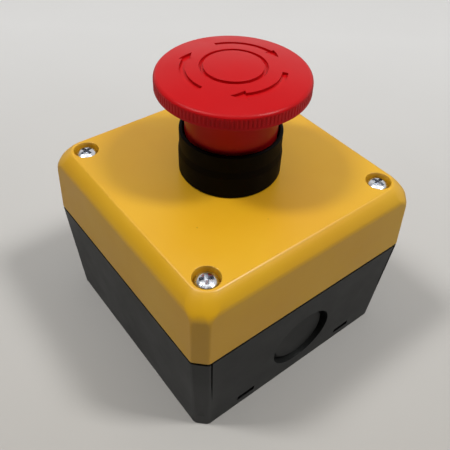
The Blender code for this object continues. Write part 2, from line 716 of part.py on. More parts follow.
def build_fixing(materials, panel):
    place(operator_body(), "operator_body", materials["black"], panel)
    gasket = tube(BEZEL_GASKET_BORE, BEZEL_GASKET_RADIUS, TOUCH_GAP, TOUCH_GAP + BEZEL_GASKET_HEIGHT)
    place(gasket, "bezel_gasket", materials["rubber"], panel)
    plate_top = -ROOF - TOUCH_GAP
    plate_foot = plate_top - LOCK_PLATE_THICKNESS
    plate_outline = square_outline(TUBE_RING_BORE + LOCK_PLATE_MARGIN, LOCK_PLATE_CORNER)
    plate = solid(prism(plate_outline, plate_foot, plate_top))
    bore = cylinder(TUBE_RING_BORE, plate_foot - CUT_MARGIN, plate_top + CUT_MARGIN, TURNED_SIDES)
    place(cut(plate, solid(bore)), "lock_plate", materials["steel"], panel)
    nut_top = plate_foot - TOUCH_GAP
    nut_foot = nut_top - NUT_HEIGHT
    nut = tube(TUBE_RING_BORE, NUT_RADIUS, nut_foot, nut_top)
    for number in range(NUT_NOTCHES):
        low = (NUT_RADIUS - NUT_NOTCH_DEPTH, -NUT_NOTCH_WIDTH / 2, nut_foot - CUT_MARGIN)
        notch = box(low, (NUT_RADIUS + CUT_MARGIN, NUT_NOTCH_WIDTH / 2, nut_top + CUT_MARGIN))
        cut(nut, solid(turned_about_z(notch, 2 * math.pi * (number + 0.5) / NUT_NOTCHES)))
    place(nut, "fixing_nut", materials["black"], panel)


def dome_height(radius):
    return APEX - DOME_RADIUS + math.sqrt(DOME_RADIUS**2 - radius**2)


def arrow_cutter(tail):
    # A curved band that widens into an arrowhead, with its floor a set depth under the dome
    neck = ARROW_SPAN - ARROW_HEAD_SPAN
    shares = [neck * i / ARROW_STEPS for i in range(ARROW_STEPS + 1)]
    stations = [(share, ARROW_WIDTH) for share in shares]
    stations.append((neck + ARROW_BARB_SPAN, ARROW_HEAD_WIDTH))
    stations.append((neck + ARROW_HEAD_SPAN / 2, ARROW_HEAD_WIDTH / 2))
    stations.append((ARROW_SPAN, ARROW_TIP_WIDTH))
    bm = bmesh.new()
    loops = []
    for share, width in stations:
        angle = tail - share
        inner = ARROW_RADIUS - width / 2
        outer = ARROW_RADIUS + width / 2
        corners = [
            (inner, dome_height(inner) - ARROW_DEPTH),
            (outer, dome_height(outer) - ARROW_DEPTH),
            (outer, APEX + CUT_MARGIN),
            (inner, APEX + CUT_MARGIN),
        ]
        loops.append([bm.verts.new((r * math.cos(angle), r * math.sin(angle), z)) for r, z in corners])
    for one, two in zip(loops, loops[1:]):
        strip(bm, one, two)
    bm.faces.new(loops[0])
    bm.faces.new(loops[-1])
    return bm


def mushroom_head():
    cap_hole = CAP_RADIUS + RUNNING_GAP
    brink = cap_hole + CAP_LEDGE
    edge = HEAD_RADIUS - EDGE_ROUND
    dome_radii = [brink + (edge - brink) * i / DOME_STEPS for i in range(DOME_STEPS)]
    dome = [(r, dome_height(r)) for r in dome_radii]
    rounding = arc((edge, RIM_TOP - EDGE_ROUND), EDGE_ROUND, 90, 0, ROUND_STEPS)
    lip_chamfer = LIP_HEIGHT / 2
    skirt_inner = SKIRT_FOOT_RADIUS - SKIRT_WALL
    socket = SPIGOT_RADIUS + TOUCH_GAP
    screw_hole = SCREW_RADIUS + TOUCH_GAP
    counterbore = SCREW_HEAD_RADIUS + 2 * TOUCH_GAP
    outline = [
        (cap_hole, dome_height(brink) - CAP_GROOVE_DEPTH),
        (brink, dome_height(brink) - CAP_GROOVE_DEPTH),
        *dome,
        *rounding,
        (HEAD_RADIUS, RIM_FOOT + LIP_HEIGHT),
        (HEAD_RADIUS, RIM_FOOT + lip_chamfer),
        (HEAD_RADIUS - lip_chamfer, RIM_FOOT),
        (SKIRT_RADIUS + SKIRT_FILLET, RIM_FOOT),
        (SKIRT_RADIUS, RIM_FOOT - SKIRT_FILLET),
        (SKIRT_FOOT_RADIUS, SKIRT_FOOT),
        (skirt_inner, SKIRT_FOOT),
        (skirt_inner, RIM_FOOT),
        (HUB_RADIUS, RIM_FOOT),
        (HUB_RADIUS, HUB_FOOT),
        (socket, HUB_FOOT),
        (socket, SPIGOT_TOP + TOUCH_GAP),
        (screw_hole, SPIGOT_TOP + TOUCH_GAP),
        (screw_hole, HEAD_SCREW_SEAT - TOUCH_GAP),
        (counterbore, HEAD_SCREW_SEAT - TOUCH_GAP),
        (counterbore, CAP_SEAT),
        (cap_hole, CAP_SEAT),
    ]
    rib_top = len(dome) + len(rounding) + 1
    body = solid(turned(outline, TURNED_SIDES, (rib_top, rib_top + 1)))
    for number in range(ARROW_COUNT):
        cut(body, solid(arrow_cutter(ARROW_TAIL + 2 * math.pi * number / ARROW_COUNT)))
    return body


def head_cap():
    flat = CAP_RADIUS - CAP_LEDGE
    radii = [flat * i / DOME_STEPS for i in range(DOME_STEPS + 1)]
    dome = [(r, dome_height(r)) for r in radii]
    ledge = dome_height(flat) - CAP_GROOVE_DEPTH
    rim = [(flat, ledge), (CAP_RADIUS, ledge), (CAP_RADIUS, CAP_FOOT)]
    return solid(turned([*dome, *rim, (0, CAP_FOOT)]))


def stem():
    # One turned piece, with two lobes that pass the pawls when the head is pressed
    groove = TAIL_RADIUS - CLIP_GROOVE_DEPTH
    clip_low = CLIP_TOP - CLIP_THICKNESS - TOUCH_GAP
    clip_high = CLIP_TOP + TOUCH_GAP
    screw_hole = SCREW_RADIUS + TOUCH_GAP
    hole_foot = HEAD_SCREW_SEAT - HEAD_SCREW_LENGTH - CUT_MARGIN
    outline = [
        (0, hole_foot),
        (screw_hole, hole_foot),
        (screw_hole, SPIGOT_TOP),
        (SPIGOT_RADIUS, SPIGOT_TOP),
        (SPIGOT_RADIUS, SHAFT_TOP),
        (SHAFT_RADIUS, SHAFT_TOP),
        (SHAFT_RADIUS, COLLAR_TOP),
        (GUIDE_RADIUS, COLLAR_TOP),
        (GUIDE_RADIUS, NECK_TOP),
        (NECK_RADIUS, NECK_TOP),
        (NECK_RADIUS, NECK_FOOT),
        (TAIL_RADIUS, NECK_FOOT),
        (TAIL_RADIUS, clip_high),
        (groove, clip_high),
        (groove, clip_low),
        (TAIL_RADIUS, clip_low),
        (TAIL_RADIUS, TAIL_FOOT),
        (0, TAIL_FOOT),
    ]
    body = solid(turned(outline, TURNED_SIDES // 2))
    half = math.degrees(LOBE_HALF_ANGLE)
    for side in (0, 180):
        rim = arc((0, 0), GUIDE_RADIUS, side - half, side + half, 6)
        root = arc((0, 0), SHAFT_RADIUS / 2, side + half, side - half, 3)
        join(body, solid(prism([*rim, *root], LOBE_FOOT, LOBE_FOOT + LOBE_THICKNESS)))
    return body


def pusher():
    body = solid(cylinder(GUIDE_RADIUS, PUSHER_FOOT, PUSHER_TOP, TURNED_SIDES // 2))
    key_end = GUIDE_RADIUS + PUSHER_KEY_HEIGHT
    key_half = PUSHER_KEY_WIDTH / 2
    join(body, solid(box((-key_half, -key_end, PUSHER_FOOT), (key_half, key_end, PUSHER_TOP))))
    bore = cylinder(TAIL_RADIUS + RUNNING_GAP, PUSHER_FOOT - CUT_MARGIN, PUSHER_TOP + CUT_MARGIN)
    return cut(body, solid(bore))


def retaining_clip():
    inner = TAIL_RADIUS - CLIP_GROOVE_DEPTH + TOUCH_GAP
    foot = CLIP_TOP - CLIP_THICKNESS
    body = tube(inner, CLIP_RADIUS, foot, CLIP_TOP, SMALL_SIDES)
    half = CLIP_MOUTH / 2
    mouth = box((-half, 0, foot - CUT_MARGIN), (half, CLIP_RADIUS + CUT_MARGIN, CLIP_TOP + CUT_MARGIN))
    return cut(body, solid(mouth))


def pawl():
    # Drawn back from the stem, with the nose chamfered above so that a lobe can push it back
    near = GUIDE_RADIUS + RUNNING_GAP
    far = near + PAWL_LENGTH
    slope = PAWL_THICKNESS / 2
    half = PAWL_WIDTH / 2
    outline = [(near, 0), (far, 0), (far, PAWL_THICKNESS), (near + slope, PAWL_THICKNESS), (near, slope)]
    bm = bmesh.new()
    loops = [[bm.verts.new((x, y, z)) for x, z in outline] for y in (-half, half)]
    strip(bm, *loops)
    bm.faces.new(loops[0])
    bm.faces.new(loops[1])
    return solid(bm)


def build_operator(materials, panel):
    slide = axis_empty("push_axis", (0, 0, 0), panel)
    spindle = axis_empty("turn_axis", (0, 0, 0), slide)
    place(mushroom_head(), "head", materials["red"], spindle)
    place(head_cap(), "head_cap", materials["red"], spindle)
    screw = pan_screw(SCREW_RADIUS, HEAD_SCREW_LENGTH, SCREW_HEAD_RADIUS, HEAD_SCREW_HEAD_HEIGHT)
    place(screw, "head_screw", materials["zinc"], spindle, (0, 0, HEAD_SCREW_SEAT))
    place(stem(), "stem", materials["black"], spindle)
    place(pusher(), "pusher", materials["nylon"], slide)
    place(retaining_clip(), "retaining_clip", materials["steel"], slide)
    reset_radius = (NECK_RADIUS + GUIDE_RADIUS) / 2
    reset_foot = PUSHER_TOP + TOUCH_GAP
    reset_top = NECK_TOP - TOUCH_GAP
    reset = coil("reset_spring", reset_radius, RESET_SPRING_WIRE, reset_foot, reset_top, RESET_SPRING_TURNS)
    place(solid(reset), "reset_spring", materials["steel"], slide)
    main_radius = SKIRT_FOOT_RADIUS - SKIRT_WALL - 2 * RUNNING_GAP - MAIN_SPRING_WIRE
    main_foot = POCKET_FLOOR + TOUCH_GAP
    main_top = RIM_FOOT - TOUCH_GAP
    main = coil("main_spring", main_radius, MAIN_SPRING_WIRE, main_foot, main_top, MAIN_SPRING_TURNS)
    place(solid(main), "main_spring", materials["steel"], panel)
    spring_start = GUIDE_RADIUS + RUNNING_GAP + PAWL_LENGTH + TOUCH_GAP
    spring_end = PAWL_POCKET_REACH - TOUCH_GAP
    spring_radius = PAWL_THICKNESS / 2 - PAWL_SPRING_WIRE
    for number, turn in enumerate((0, math.pi), 1):
        axis = axis_empty(f"pawl_axis_{number}", (0, 0, PAWL_LEVEL), panel)
        place(pawl(), f"latch_pawl_{number}", materials["nylon"], axis, (0, 0, 0), turn)
        name = f"pawl_spring_{number}"
        wound = coil(name, spring_radius, PAWL_SPRING_WIRE, spring_start, spring_end, PAWL_SPRING_TURNS)
        along_x(wound)
        bmesh.ops.translate(wound, verts=wound.verts, vec=(0, 0, PAWL_THICKNESS / 2))
        place(solid(wound), name, materials["steel"], axis, (0, 0, 0), turn)


def block_adaptor():
    ring_out = TUBE_RING_BORE + ADAPTOR_WALL
    floor_foot = ADAPTOR_SEAT - ADAPTOR_FLOOR
    outline = [
        (0, floor_foot),
        (ring_out, floor_foot),
        (ring_out, ADAPTOR_TOP),
        (TUBE_RING_BORE, ADAPTOR_TOP),
        (TUBE_RING_BORE, ADAPTOR_SEAT),
        (0, ADAPTOR_SEAT),
    ]
    body = solid(turned(outline))
    cheek_in = BLOCK_PLACE + BLOCK_WIDTH / 2 + TOUCH_GAP
    cheek_out = cheek_in + ADAPTOR_CHEEK
    half = ADAPTOR_CHEEK_WIDTH / 2
    for side in (0, math.pi):
        cheek_low = (cheek_in, -half, floor_foot - ADAPTOR_CHEEK_DROP)
        cheek = box(cheek_low, (cheek_out, half, ADAPTOR_SEAT - TOUCH_GAP))
        join(body, solid(turned_about_z(cheek, side)))
    for x in (BLOCK_PLACE, -BLOCK_PLACE):
        hole = PLUNGER_RADIUS + RUNNING_GAP
        bore = cylinder(hole, floor_foot - CUT_MARGIN, ADAPTOR_SEAT + CUT_MARGIN, SMALL_SIDES, (x, 0))
        cut(body, solid(bore))
    return body


def contact_housing():
    # Local frame: the middle of the block's top face. The fixed terminals lie on the shoulders at both ends.
    half = BLOCK_WIDTH / 2
    core = BLOCK_CORE_LENGTH / 2
    end = BLOCK_LENGTH / 2
    body = solid(box((-half, -end, -BLOCK_HEIGHT), (half, end, 0)))
    for side in (0, math.pi):
        wide = half + CUT_MARGIN
        step = box((-wide, core, -SHOULDER_DROP), (wide, end + CUT_MARGIN, CUT_MARGIN))
        cut(body, solid(turned_about_z(step, side)))
    room = half - BLOCK_WALL
    floor = BLOCK_WALL - BLOCK_HEIGHT
    cut(body, solid(box((-room, BLOCK_WALL - core, floor), (room, core - BLOCK_WALL, -BLOCK_ROOF))))
    slot = TERMINAL_WIDTH / 2 + TOUCH_GAP
    slot_top = TERMINAL_FOOT + TERMINAL_THICKNESS + TOUCH_GAP
    cut(body, solid(box((-slot, -core - CUT_MARGIN, -SHOULDER_DROP), (slot, core + CUT_MARGIN, slot_top))))
    bore = cylinder(PLUNGER_RADIUS + RUNNING_GAP, -BLOCK_ROOF - CUT_MARGIN, CUT_MARGIN)
    cut(body, solid(bore))
    screw_y = end - TERMINAL_SCREW_INSET
    hole_foot = TERMINAL_FOOT + TERMINAL_THICKNESS - TERMINAL_SCREW_LENGTH - CUT_MARGIN
    for y in (screw_y, -screw_y):
        hole = cylinder(SCREW_RADIUS + TOUCH_GAP, hole_foot, CUT_MARGIN, SHANK_SIDES, (0, y))
        cut(body, solid(hole))
    return body


def contact_bridge():
    half = BRIDGE_WIDTH / 2
    end = BRIDGE_LENGTH / 2
    body = solid(box((-half, -end, BRIDGE_FOOT), (half, end, BRIDGE_TOP)))
    for y in (TIP_SPACING / 2, -TIP_SPACING / 2):
        tip = cylinder(TIP_RADIUS, BRIDGE_TOP - BRIDGE_THICKNESS / 2, TIP_TOP, SHANK_SIDES, (0, y))
        join(body, solid(tip))
    hole = PLUNGER_NOSE_RADIUS + TOUCH_GAP
    bore = cylinder(hole, BRIDGE_FOOT - CUT_MARGIN, BRIDGE_TOP + CUT_MARGIN, SHANK_SIDES)
    return cut(body, solid(bore))


def contact_plunger():
    seat = BRIDGE_TOP + TOUCH_GAP
    tip = seat - PLUNGER_NOSE_LENGTH
    outline = [
        (0, PLUNGER_TOP),
        (PLUNGER_RADIUS, PLUNGER_TOP),
        (PLUNGER_RADIUS, seat),
        (PLUNGER_NOSE_RADIUS, seat),
        (PLUNGER_NOSE_RADIUS, tip),
        (0, tip),
    ]
    return solid(turned(outline, SMALL_SIDES))


def contact_terminal():
    # The strip at the +Y end
    end = BLOCK_LENGTH / 2
    half = TERMINAL_WIDTH / 2
    top = TERMINAL_FOOT + TERMINAL_THICKNESS
    body = solid(box((-half, TERMINAL_GAP / 2, TERMINAL_FOOT), (half, end, top)))
    place_y = end - TERMINAL_SCREW_INSET
    hole = SCREW_RADIUS + TOUCH_GAP
    bore = cylinder(hole, TERMINAL_FOOT - CUT_MARGIN, top + CUT_MARGIN, SHANK_SIDES, (0, place_y))
    return cut(body, solid(bore))


def build_contacts(materials, panel):
    place(block_adaptor(), "block_adaptor", materials["black"], panel)
    spring_foot = BLOCK_WALL - BLOCK_HEIGHT + TOUCH_GAP
    spring_top = BRIDGE_FOOT - TOUCH_GAP
    screw_y = BLOCK_LENGTH / 2 - TERMINAL_SCREW_INSET
    screw_z = TERMINAL_FOOT + TERMINAL_THICKNESS + TOUCH_GAP
    for letter, x in (("a", BLOCK_PLACE), ("b", -BLOCK_PLACE)):
        block = axis_empty(f"block_axis_{letter}", (x, 0, BLOCK_TOP), panel)
        place(contact_housing(), f"contact_housing_{letter}", materials["black"], block)
        place(contact_plunger(), f"contact_plunger_{letter}", materials["nylon"], block)
        place(contact_bridge(), f"contact_bridge_{letter}", materials["brass"], block)
        name = f"contact_spring_{letter}"
        wire = CONTACT_SPRING_WIRE
        spring = coil(name, CONTACT_SPRING_RADIUS, wire, spring_foot, spring_top, CONTACT_SPRING_TURNS)
        place(solid(spring), name, materials["steel"], block)
        for number, turn in enumerate((0, math.pi), 1):
            name = f"contact_terminal_{letter}{number}"
            place(contact_terminal(), name, materials["brass"], block, (0, 0, 0), turn)
            screw = pan_screw(SCREW_RADIUS, TERMINAL_SCREW_LENGTH, SCREW_HEAD_RADIUS, TERMINAL_HEAD_HEIGHT)
            side = 1 if turn == 0 else -1
            name = f"terminal_screw_{letter}{number}"
            place(screw, name, materials["zinc"], block, (0, side * screw_y, screw_z))


def main():
    clear_scene()
    materials = {
        "yellow": principled("yellow_plastic", (0.80, 0.45, 0.03), 0.35),
        "grey": principled("dark_grey_plastic", (0.035, 0.035, 0.034), 0.5),
        "red": principled("red_plastic", (0.62, 0.02, 0.03), 0.35),
        "black": principled("black_plastic", (0.012, 0.012, 0.012), 0.5),
        "nylon": principled("white_nylon", (0.75, 0.74, 0.70), 0.5),
        "rubber": principled("black_rubber", (0.02, 0.02, 0.02), 0.8),
        "zinc": principled("zinc_plated_steel", (0.75, 0.76, 0.78), 0.25, 1.0),
        "steel": principled("spring_steel", (0.55, 0.55, 0.56), 0.3, 1.0),
        "brass": principled("brass", (0.78, 0.57, 0.24), 0.3, 1.0),
    }
    build_enclosure(materials)
    panel = axis_empty("panel_axis", (0, 0, TOP))
    build_fixing(materials, panel)
    build_operator(materials, panel)
    build_contacts(materials, panel)


main()
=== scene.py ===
import math

import bmesh
import bpy
from mathutils import Matrix, Vector


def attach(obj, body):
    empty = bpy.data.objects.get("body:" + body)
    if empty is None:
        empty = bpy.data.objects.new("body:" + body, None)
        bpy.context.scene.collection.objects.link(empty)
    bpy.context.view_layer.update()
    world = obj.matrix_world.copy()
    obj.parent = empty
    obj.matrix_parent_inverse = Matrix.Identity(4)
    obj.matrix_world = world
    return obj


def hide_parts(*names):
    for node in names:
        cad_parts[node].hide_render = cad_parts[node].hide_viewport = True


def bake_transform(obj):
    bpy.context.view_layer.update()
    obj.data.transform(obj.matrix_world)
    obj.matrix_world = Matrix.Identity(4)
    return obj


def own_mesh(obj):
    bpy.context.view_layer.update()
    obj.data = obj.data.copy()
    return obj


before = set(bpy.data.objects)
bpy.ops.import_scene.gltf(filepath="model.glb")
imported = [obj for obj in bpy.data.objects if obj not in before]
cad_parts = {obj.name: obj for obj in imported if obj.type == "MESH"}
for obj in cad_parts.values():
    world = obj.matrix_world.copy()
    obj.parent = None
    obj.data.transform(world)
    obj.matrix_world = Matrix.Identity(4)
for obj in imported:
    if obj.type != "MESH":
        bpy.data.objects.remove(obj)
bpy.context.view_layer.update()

scene = bpy.context.scene
scene.view_settings.view_transform = "Standard"

# Meshes are drawn in millimetres and scaled to metres when a piece is finished
metre = 0.001
coverTop = 57.4  # level that the operator's heights count from
past = 1.0  # how far a cutter reaches beyond what it cuts


# Colour and node helpers

def hexToLinear(text):
    values = [int(text[i:i + 2], 16) / 255 for i in (1, 3, 5)]
    linear = [v / 12.92 if v <= 0.04045 else ((v + 0.055) / 1.055) ** 2.4 for v in values]
    return (*linear, 1.0)


def patternScale(size):
    return 1000.0 / size  # texture scale whose features are about size millimetres across


def span(label, ends):
    return {f"{label} Min": ends[0], f"{label} Max": ends[1]}  # a Map Range's two sockets


def addNode(tree, kind, values=None, **settings):
    node = tree.nodes.new(kind)
    for name, value in settings.items():
        setattr(node, name, value)
    for key, value in (values or {}).items():
        if isinstance(value, bpy.types.NodeSocket):
            tree.links.new(value, node.inputs[key])
        else:
            node.inputs[key].default_value = value
    return node


def startMaterial(name):
    material = bpy.data.materials.new(name)
    material.use_nodes = True
    tree = material.node_tree
    coords = addNode(tree, "ShaderNodeTexCoord").outputs["Object"]
    return material, tree, tree.nodes["Principled BSDF"], coords


smudgeRange = (0.3, 0.7)  # part of the noise's range over which the gloss changes


def makeMaterial(name, look):
    # Slow clouds of flow or tarnish in the colour, sparse dust, smudges that change the gloss, fine relief
    material, tree, shader, coords = startMaterial(name)
    cloudColour, cloudSize = look["cloud"]
    cloud = addNode(tree, "ShaderNodeTexNoise", {
        "Vector": coords, "Scale": patternScale(cloudSize), "Detail": look["detail"]})
    cloudShare = addNode(tree, "ShaderNodeMapRange", {
        "Value": cloud.outputs["Fac"], **span("From", look["cloudRange"])})
    colour = addNode(tree, "ShaderNodeMix", {
        0: cloudShare.outputs["Result"],
        6: hexToLinear(look["colour"]), 7: hexToLinear(cloudColour)}, data_type="RGBA")
    if "speck" in look:
        speckColour, spacing, size, strength = look["speck"]
        dust = addNode(tree, "ShaderNodeTexVoronoi", {"Vector": coords, "Scale": patternScale(spacing)})
        speck = addNode(tree, "ShaderNodeMapRange", {
            "Value": dust.outputs["Distance"],
            **span("From", (size / spacing / 2, size / spacing)), **span("To", (strength, 0.0))})
        colour = addNode(tree, "ShaderNodeMix", {
            0: speck.outputs["Result"], 6: colour.outputs[2], 7: hexToLinear(speckColour)}, data_type="RGBA")
    smudgeSize, *roughness = look["smudge"]
    smudge = addNode(tree, "ShaderNodeTexNoise", {
        "Vector": coords, "Scale": patternScale(smudgeSize), "Detail": look["detail"]})
    rough = addNode(tree, "ShaderNodeMapRange", {
        "Value": smudge.outputs["Fac"], **span("From", smudgeRange), **span("To", roughness)})
    if "stretch" in look:  # draws the relief out into lines
        coords = addNode(tree, "ShaderNodeMapping", {
            "Vector": coords, "Scale": look["stretch"]}).outputs["Vector"]
    grainSize, grainDepth, grainStrength = look["grain"]
    grain = addNode(tree, "ShaderNodeTexNoise", {
        "Vector": coords, "Scale": patternScale(grainSize), "Detail": look["detail"] - 1})
    bump = addNode(tree, "ShaderNodeBump", {
        "Height": grain.outputs["Fac"], "Strength": grainStrength, "Distance": grainDepth * metre})
    tree.links.new(colour.outputs[2], shader.inputs["Base Color"])
    tree.links.new(rough.outputs["Result"], shader.inputs["Roughness"])
    tree.links.new(bump.outputs["Normal"], shader.inputs["Normal"])
    if "ior" in look:
        shader.inputs["IOR"].default_value = look["ior"]
        shader.inputs["Specular IOR Level"].default_value = look["gloss"]
    else:
        shader.inputs["Metallic"].default_value = 1.0
    return material


# Sizes in millimetres. cloud: colour, size. speck: colour, spacing, size, strength.
# smudge: size, least and most roughness. grain: size, depth, strength.
moulded = {"detail": 3.0, "cloudRange": (0.35, 0.65)}
worked = {"detail": 4.0, "cloudRange": (0.35, 0.7)}
# ABS, injection moulded in a finely textured tool: satin yellow, soft highlights along the creases.
# Real grain is nearer 0.1 mm and is drawn coarser, as on the other plastics.
yellowAbs = {
    **moulded, "colour": "#E8B11C", "cloud": ("#E4AA18", 22.0), "speck": ("#8E6A1C", 11.0, 0.3, 0.4),
    "smudge": (13.0, 0.34, 0.42), "grain": (0.45, 0.02, 0.1), "ior": 1.53, "gloss": 0.65,
}
# ABS with carbon black, same tool finish: dark grey, with a soft sheen where it mirrors the floor
greyAbs = {
    **moulded, "colour": "#1F201F", "cloud": ("#1C1D1C", 18.0), "speck": ("#4E4D4A", 9.0, 0.25, 0.3),
    "smudge": (11.0, 0.34, 0.42), "grain": (0.4, 0.02, 0.16), "ior": 1.53, "gloss": 0.32,
}
# Polycarbonate, moulded in a matt tool: even signal red, with a soft sheen on the rounded rim
redPolycarbonate = {
    **moulded, "colour": "#CA1016", "cloud": ("#C50E14", 16.0), "speck": ("#7A1216", 9.0, 0.22, 0.35),
    "smudge": (9.0, 0.28, 0.38), "grain": (0.35, 0.02, 0.12), "ior": 1.58, "gloss": 0.125,
}
# Glass-filled polyamide, moulded in a matt tool: deep black with a faint cloudy skin
blackPolyamide = {
    **moulded, "colour": "#040303", "cloud": ("#060505", 6.0), "speck": ("#33312E", 6.0, 0.2, 0.25),
    "smudge": (5.0, 0.5, 0.62), "grain": (0.3, 0.02, 0.2), "ior": 1.53, "gloss": 0.05,
}
# Acetal, moulded: milky white, slightly waxy
whiteAcetal = {
    **moulded, "colour": "#E8E5DC", "cloud": ("#DDD9CD", 4.0), "speck": ("#8E8878", 4.0, 0.15, 0.3),
    "smudge": (4.0, 0.35, 0.5), "grain": (0.25, 0.01, 0.15), "ior": 1.48, "gloss": 0.5,
}
# Nitrile rubber, compression moulded: dull black with a bloom of grey dust
nitrileRubber = {
    **moulded, "colour": "#191919", "cloud": ("#262524", 3.0), "speck": ("#77756F", 2.5, 0.15, 0.4),
    "smudge": (3.0, 0.75, 0.9), "grain": (0.2, 0.02, 0.4), "ior": 1.52, "gloss": 0.4,
}
# Steel, cold formed and bright zinc plated: mirror-like with a cool cast and light handling marks
zincSteel = {
    **worked, "colour": "#E2E4E8", "cloud": ("#C4C8D0", 0.9), "smudge": (0.9, 0.12, 0.3),
    "grain": (0.25, 0.01, 0.25), "stretch": (1.0, 0.25, 1.0),
}
# Spring steel, cold drawn: dark straw grey with draw lines
springSteel = {
    **worked, "colour": "#A9A7A3", "cloud": ("#7F7A72", 1.4), "smudge": (1.4, 0.25, 0.42),
    "grain": (0.15, 0.008, 0.3), "stretch": (1.0, 1.0, 0.3),
}
# Steel strip, stamped: pale grey, rolled lines across the sheet
stampedSteel = {
    **worked, "colour": "#BDBEC0", "cloud": ("#A2A3A5", 2.2), "smudge": (2.2, 0.28, 0.45),
    "grain": (0.2, 0.01, 0.3), "stretch": (0.1, 1.0, 1.0),
}
# Brass, turned or stamped: warm yellow with brown tarnish in patches
workedBrass = {
    **worked, "colour": "#D9B865", "cloud": ("#B58F45", 1.8), "smudge": (1.8, 0.22, 0.4),
    "grain": (0.18, 0.01, 0.3), "stretch": (1.0, 1.0, 0.2),
}

materials = {
    "yellow_plastic": makeMaterial("yellowAbsMoulded", yellowAbs),
    "grey_plastic": makeMaterial("darkGreyAbsMoulded", greyAbs),
    "red_plastic": makeMaterial("redPolycarbonateMoulded", redPolycarbonate),
    "black_plastic": makeMaterial("blackPolyamideMoulded", blackPolyamide),
    "nylon": makeMaterial("whiteAcetalMoulded", whiteAcetal),
    "rubber": makeMaterial("nitrileRubberMoulded", nitrileRubber),
    "zinc": makeMaterial("zincPlatedSteel", zincSteel),
    "wire": makeMaterial("springSteelDrawn", springSteel),
    "steel": makeMaterial("steelStripStamped", stampedSteel),
    "brass": makeMaterial("brassWorked", workedBrass),
}
print("materials:", len(materials))


# Mesh helpers

def roundedOutline(corners, steps):
    # Closed outline from (x, y, radius) corners, each radius drawn as a tangent arc
    outline = []
    for i, (x, y, radius) in enumerate(corners):
        here = Vector((x, y))
        if radius == 0:
            outline.append((x, y))
            continue
        before = (Vector(corners[i - 1][:2]) - here).normalized()
        after = (Vector(corners[(i + 1) % len(corners)][:2]) - here).normalized()
        half = before.angle(after) / 2
        centre = here + (before + after).normalized() * (radius / math.sin(half))
        start = here + before * (radius / math.tan(half)) - centre
        sweep = start.angle_signed(here + after * (radius / math.tan(half)) - centre)
        for step in range(steps + 1):
            spoke = start.copy()
            spoke.rotate(Matrix.Rotation(-sweep * step / steps, 2))
            outline.append(tuple(centre + spoke))
    return outline


def arc(x, y, radius, start, end, steps):
    # Points round (x, y) from one angle to the other, in degrees
    angles = [math.radians(start + (end - start) * step / steps) for step in range(steps + 1)]
    return [(x + radius * math.cos(a), y + radius * math.sin(a)) for a in angles]


def fourTimes(quarter):
    # The same points again after each quarter turn
    turns = ((1, 0), (0, 1), (-1, 0), (0, -1))
    return [(x * c - y * s, x * s + y * c) for c, s in turns for x, y in quarter]


def bridgeLoops(bm, one, two):
    for i in range(len(one)):
        j = (i + 1) % len(one)
        if one[i] is not one[j] or two[i] is not two[j]:
            corners = [one[i], one[j], two[j], two[i]]
            bm.faces.new([v for k, v in enumerate(corners) if v not in corners[:k]])


def skinMesh(loops):
    # Closed solid through loops of (x, y, z) points
    bm = bmesh.new()
    rings = [[bm.verts.new(point) for point in loop] for loop in loops]
    for one, two in zip(rings, rings[1:]):
        bridgeLoops(bm, one, two)
    bm.faces.new(rings[0])
    bm.faces.new(rings[-1])
    return bm


def loftMesh(sections):
    # The same through (loop, height) sections
    return skinMesh([[(x, y, z) for x, y in loop] for loop, z in sections])


def turnedMesh(outline, sides):
    # Closed (radius, height) outline turned round Z; radius 0 becomes a pole
    bm = bmesh.new()
    rings = []
    for radius, z in outline:
        if radius < 1e-6:
            rings.append([bm.verts.new((0, 0, z))] * sides)
            continue
        angles = [2 * math.pi * i / sides for i in range(sides)]
        rings.append([bm.verts.new((radius * math.cos(a), radius * math.sin(a), z)) for a in angles])
    for i in range(len(rings)):
        bridgeLoops(bm, rings[i], rings[(i + 1) % len(rings)])
    return bm


def rodMesh(radius, low, high, sides=32):
    return turnedMesh([(0, low), (radius, low), (radius, high), (0, high)], sides)


def blockMesh(low, high):
    loop = [(low[0], low[1]), (high[0], low[1]), (high[0], high[1]), (low[0], high[1])]
    return loftMesh([(loop, low[2]), (loop, high[2])])


def turnBy(angle, axis="Z"):
    return Matrix.Rotation(math.radians(angle), 4, axis)


def moved(bm, matrix):
    bmesh.ops.transform(bm, matrix=matrix, verts=bm.verts)
    return bm


def makeObject(bm, name, gap=0.0005):
    bmesh.ops.remove_doubles(bm, verts=bm.verts, dist=gap)
    bmesh.ops.recalc_face_normals(bm, faces=bm.faces)
    mesh = bpy.data.meshes.new(name)
    bm.to_mesh(mesh)
    bm.free()
    piece = bpy.data.objects.new(name, mesh)
    scene.collection.objects.link(piece)
    return piece


def bakeModifiers(piece):
    graph = bpy.context.evaluated_depsgraph_get()
    piece.data = bpy.data.meshes.new_from_object(piece.evaluated_get(graph))
    piece.modifiers.clear()


def combine(piece, operation, *others):
    tools = [makeObject(bm, "tool") for bm in others]
    for tool in tools:
        step = piece.modifiers.new("combine", "BOOLEAN")
        step.operation = operation
        step.solver = "EXACT"
        step.object = tool
    bakeModifiers(piece)
    for tool in tools:
        bpy.data.objects.remove(tool)


def mergeSlivers(piece, gap=0.002):
    # Cuts and unions leave corners that all but touch, and faces with no area between them
    bm = bmesh.new()
    bm.from_mesh(piece.data)
    bmesh.ops.remove_doubles(bm, verts=bm.verts, dist=gap)
    bmesh.ops.dissolve_degenerate(bm, edges=bm.edges, dist=gap)
    bm.to_mesh(piece.data)
    bm.free()


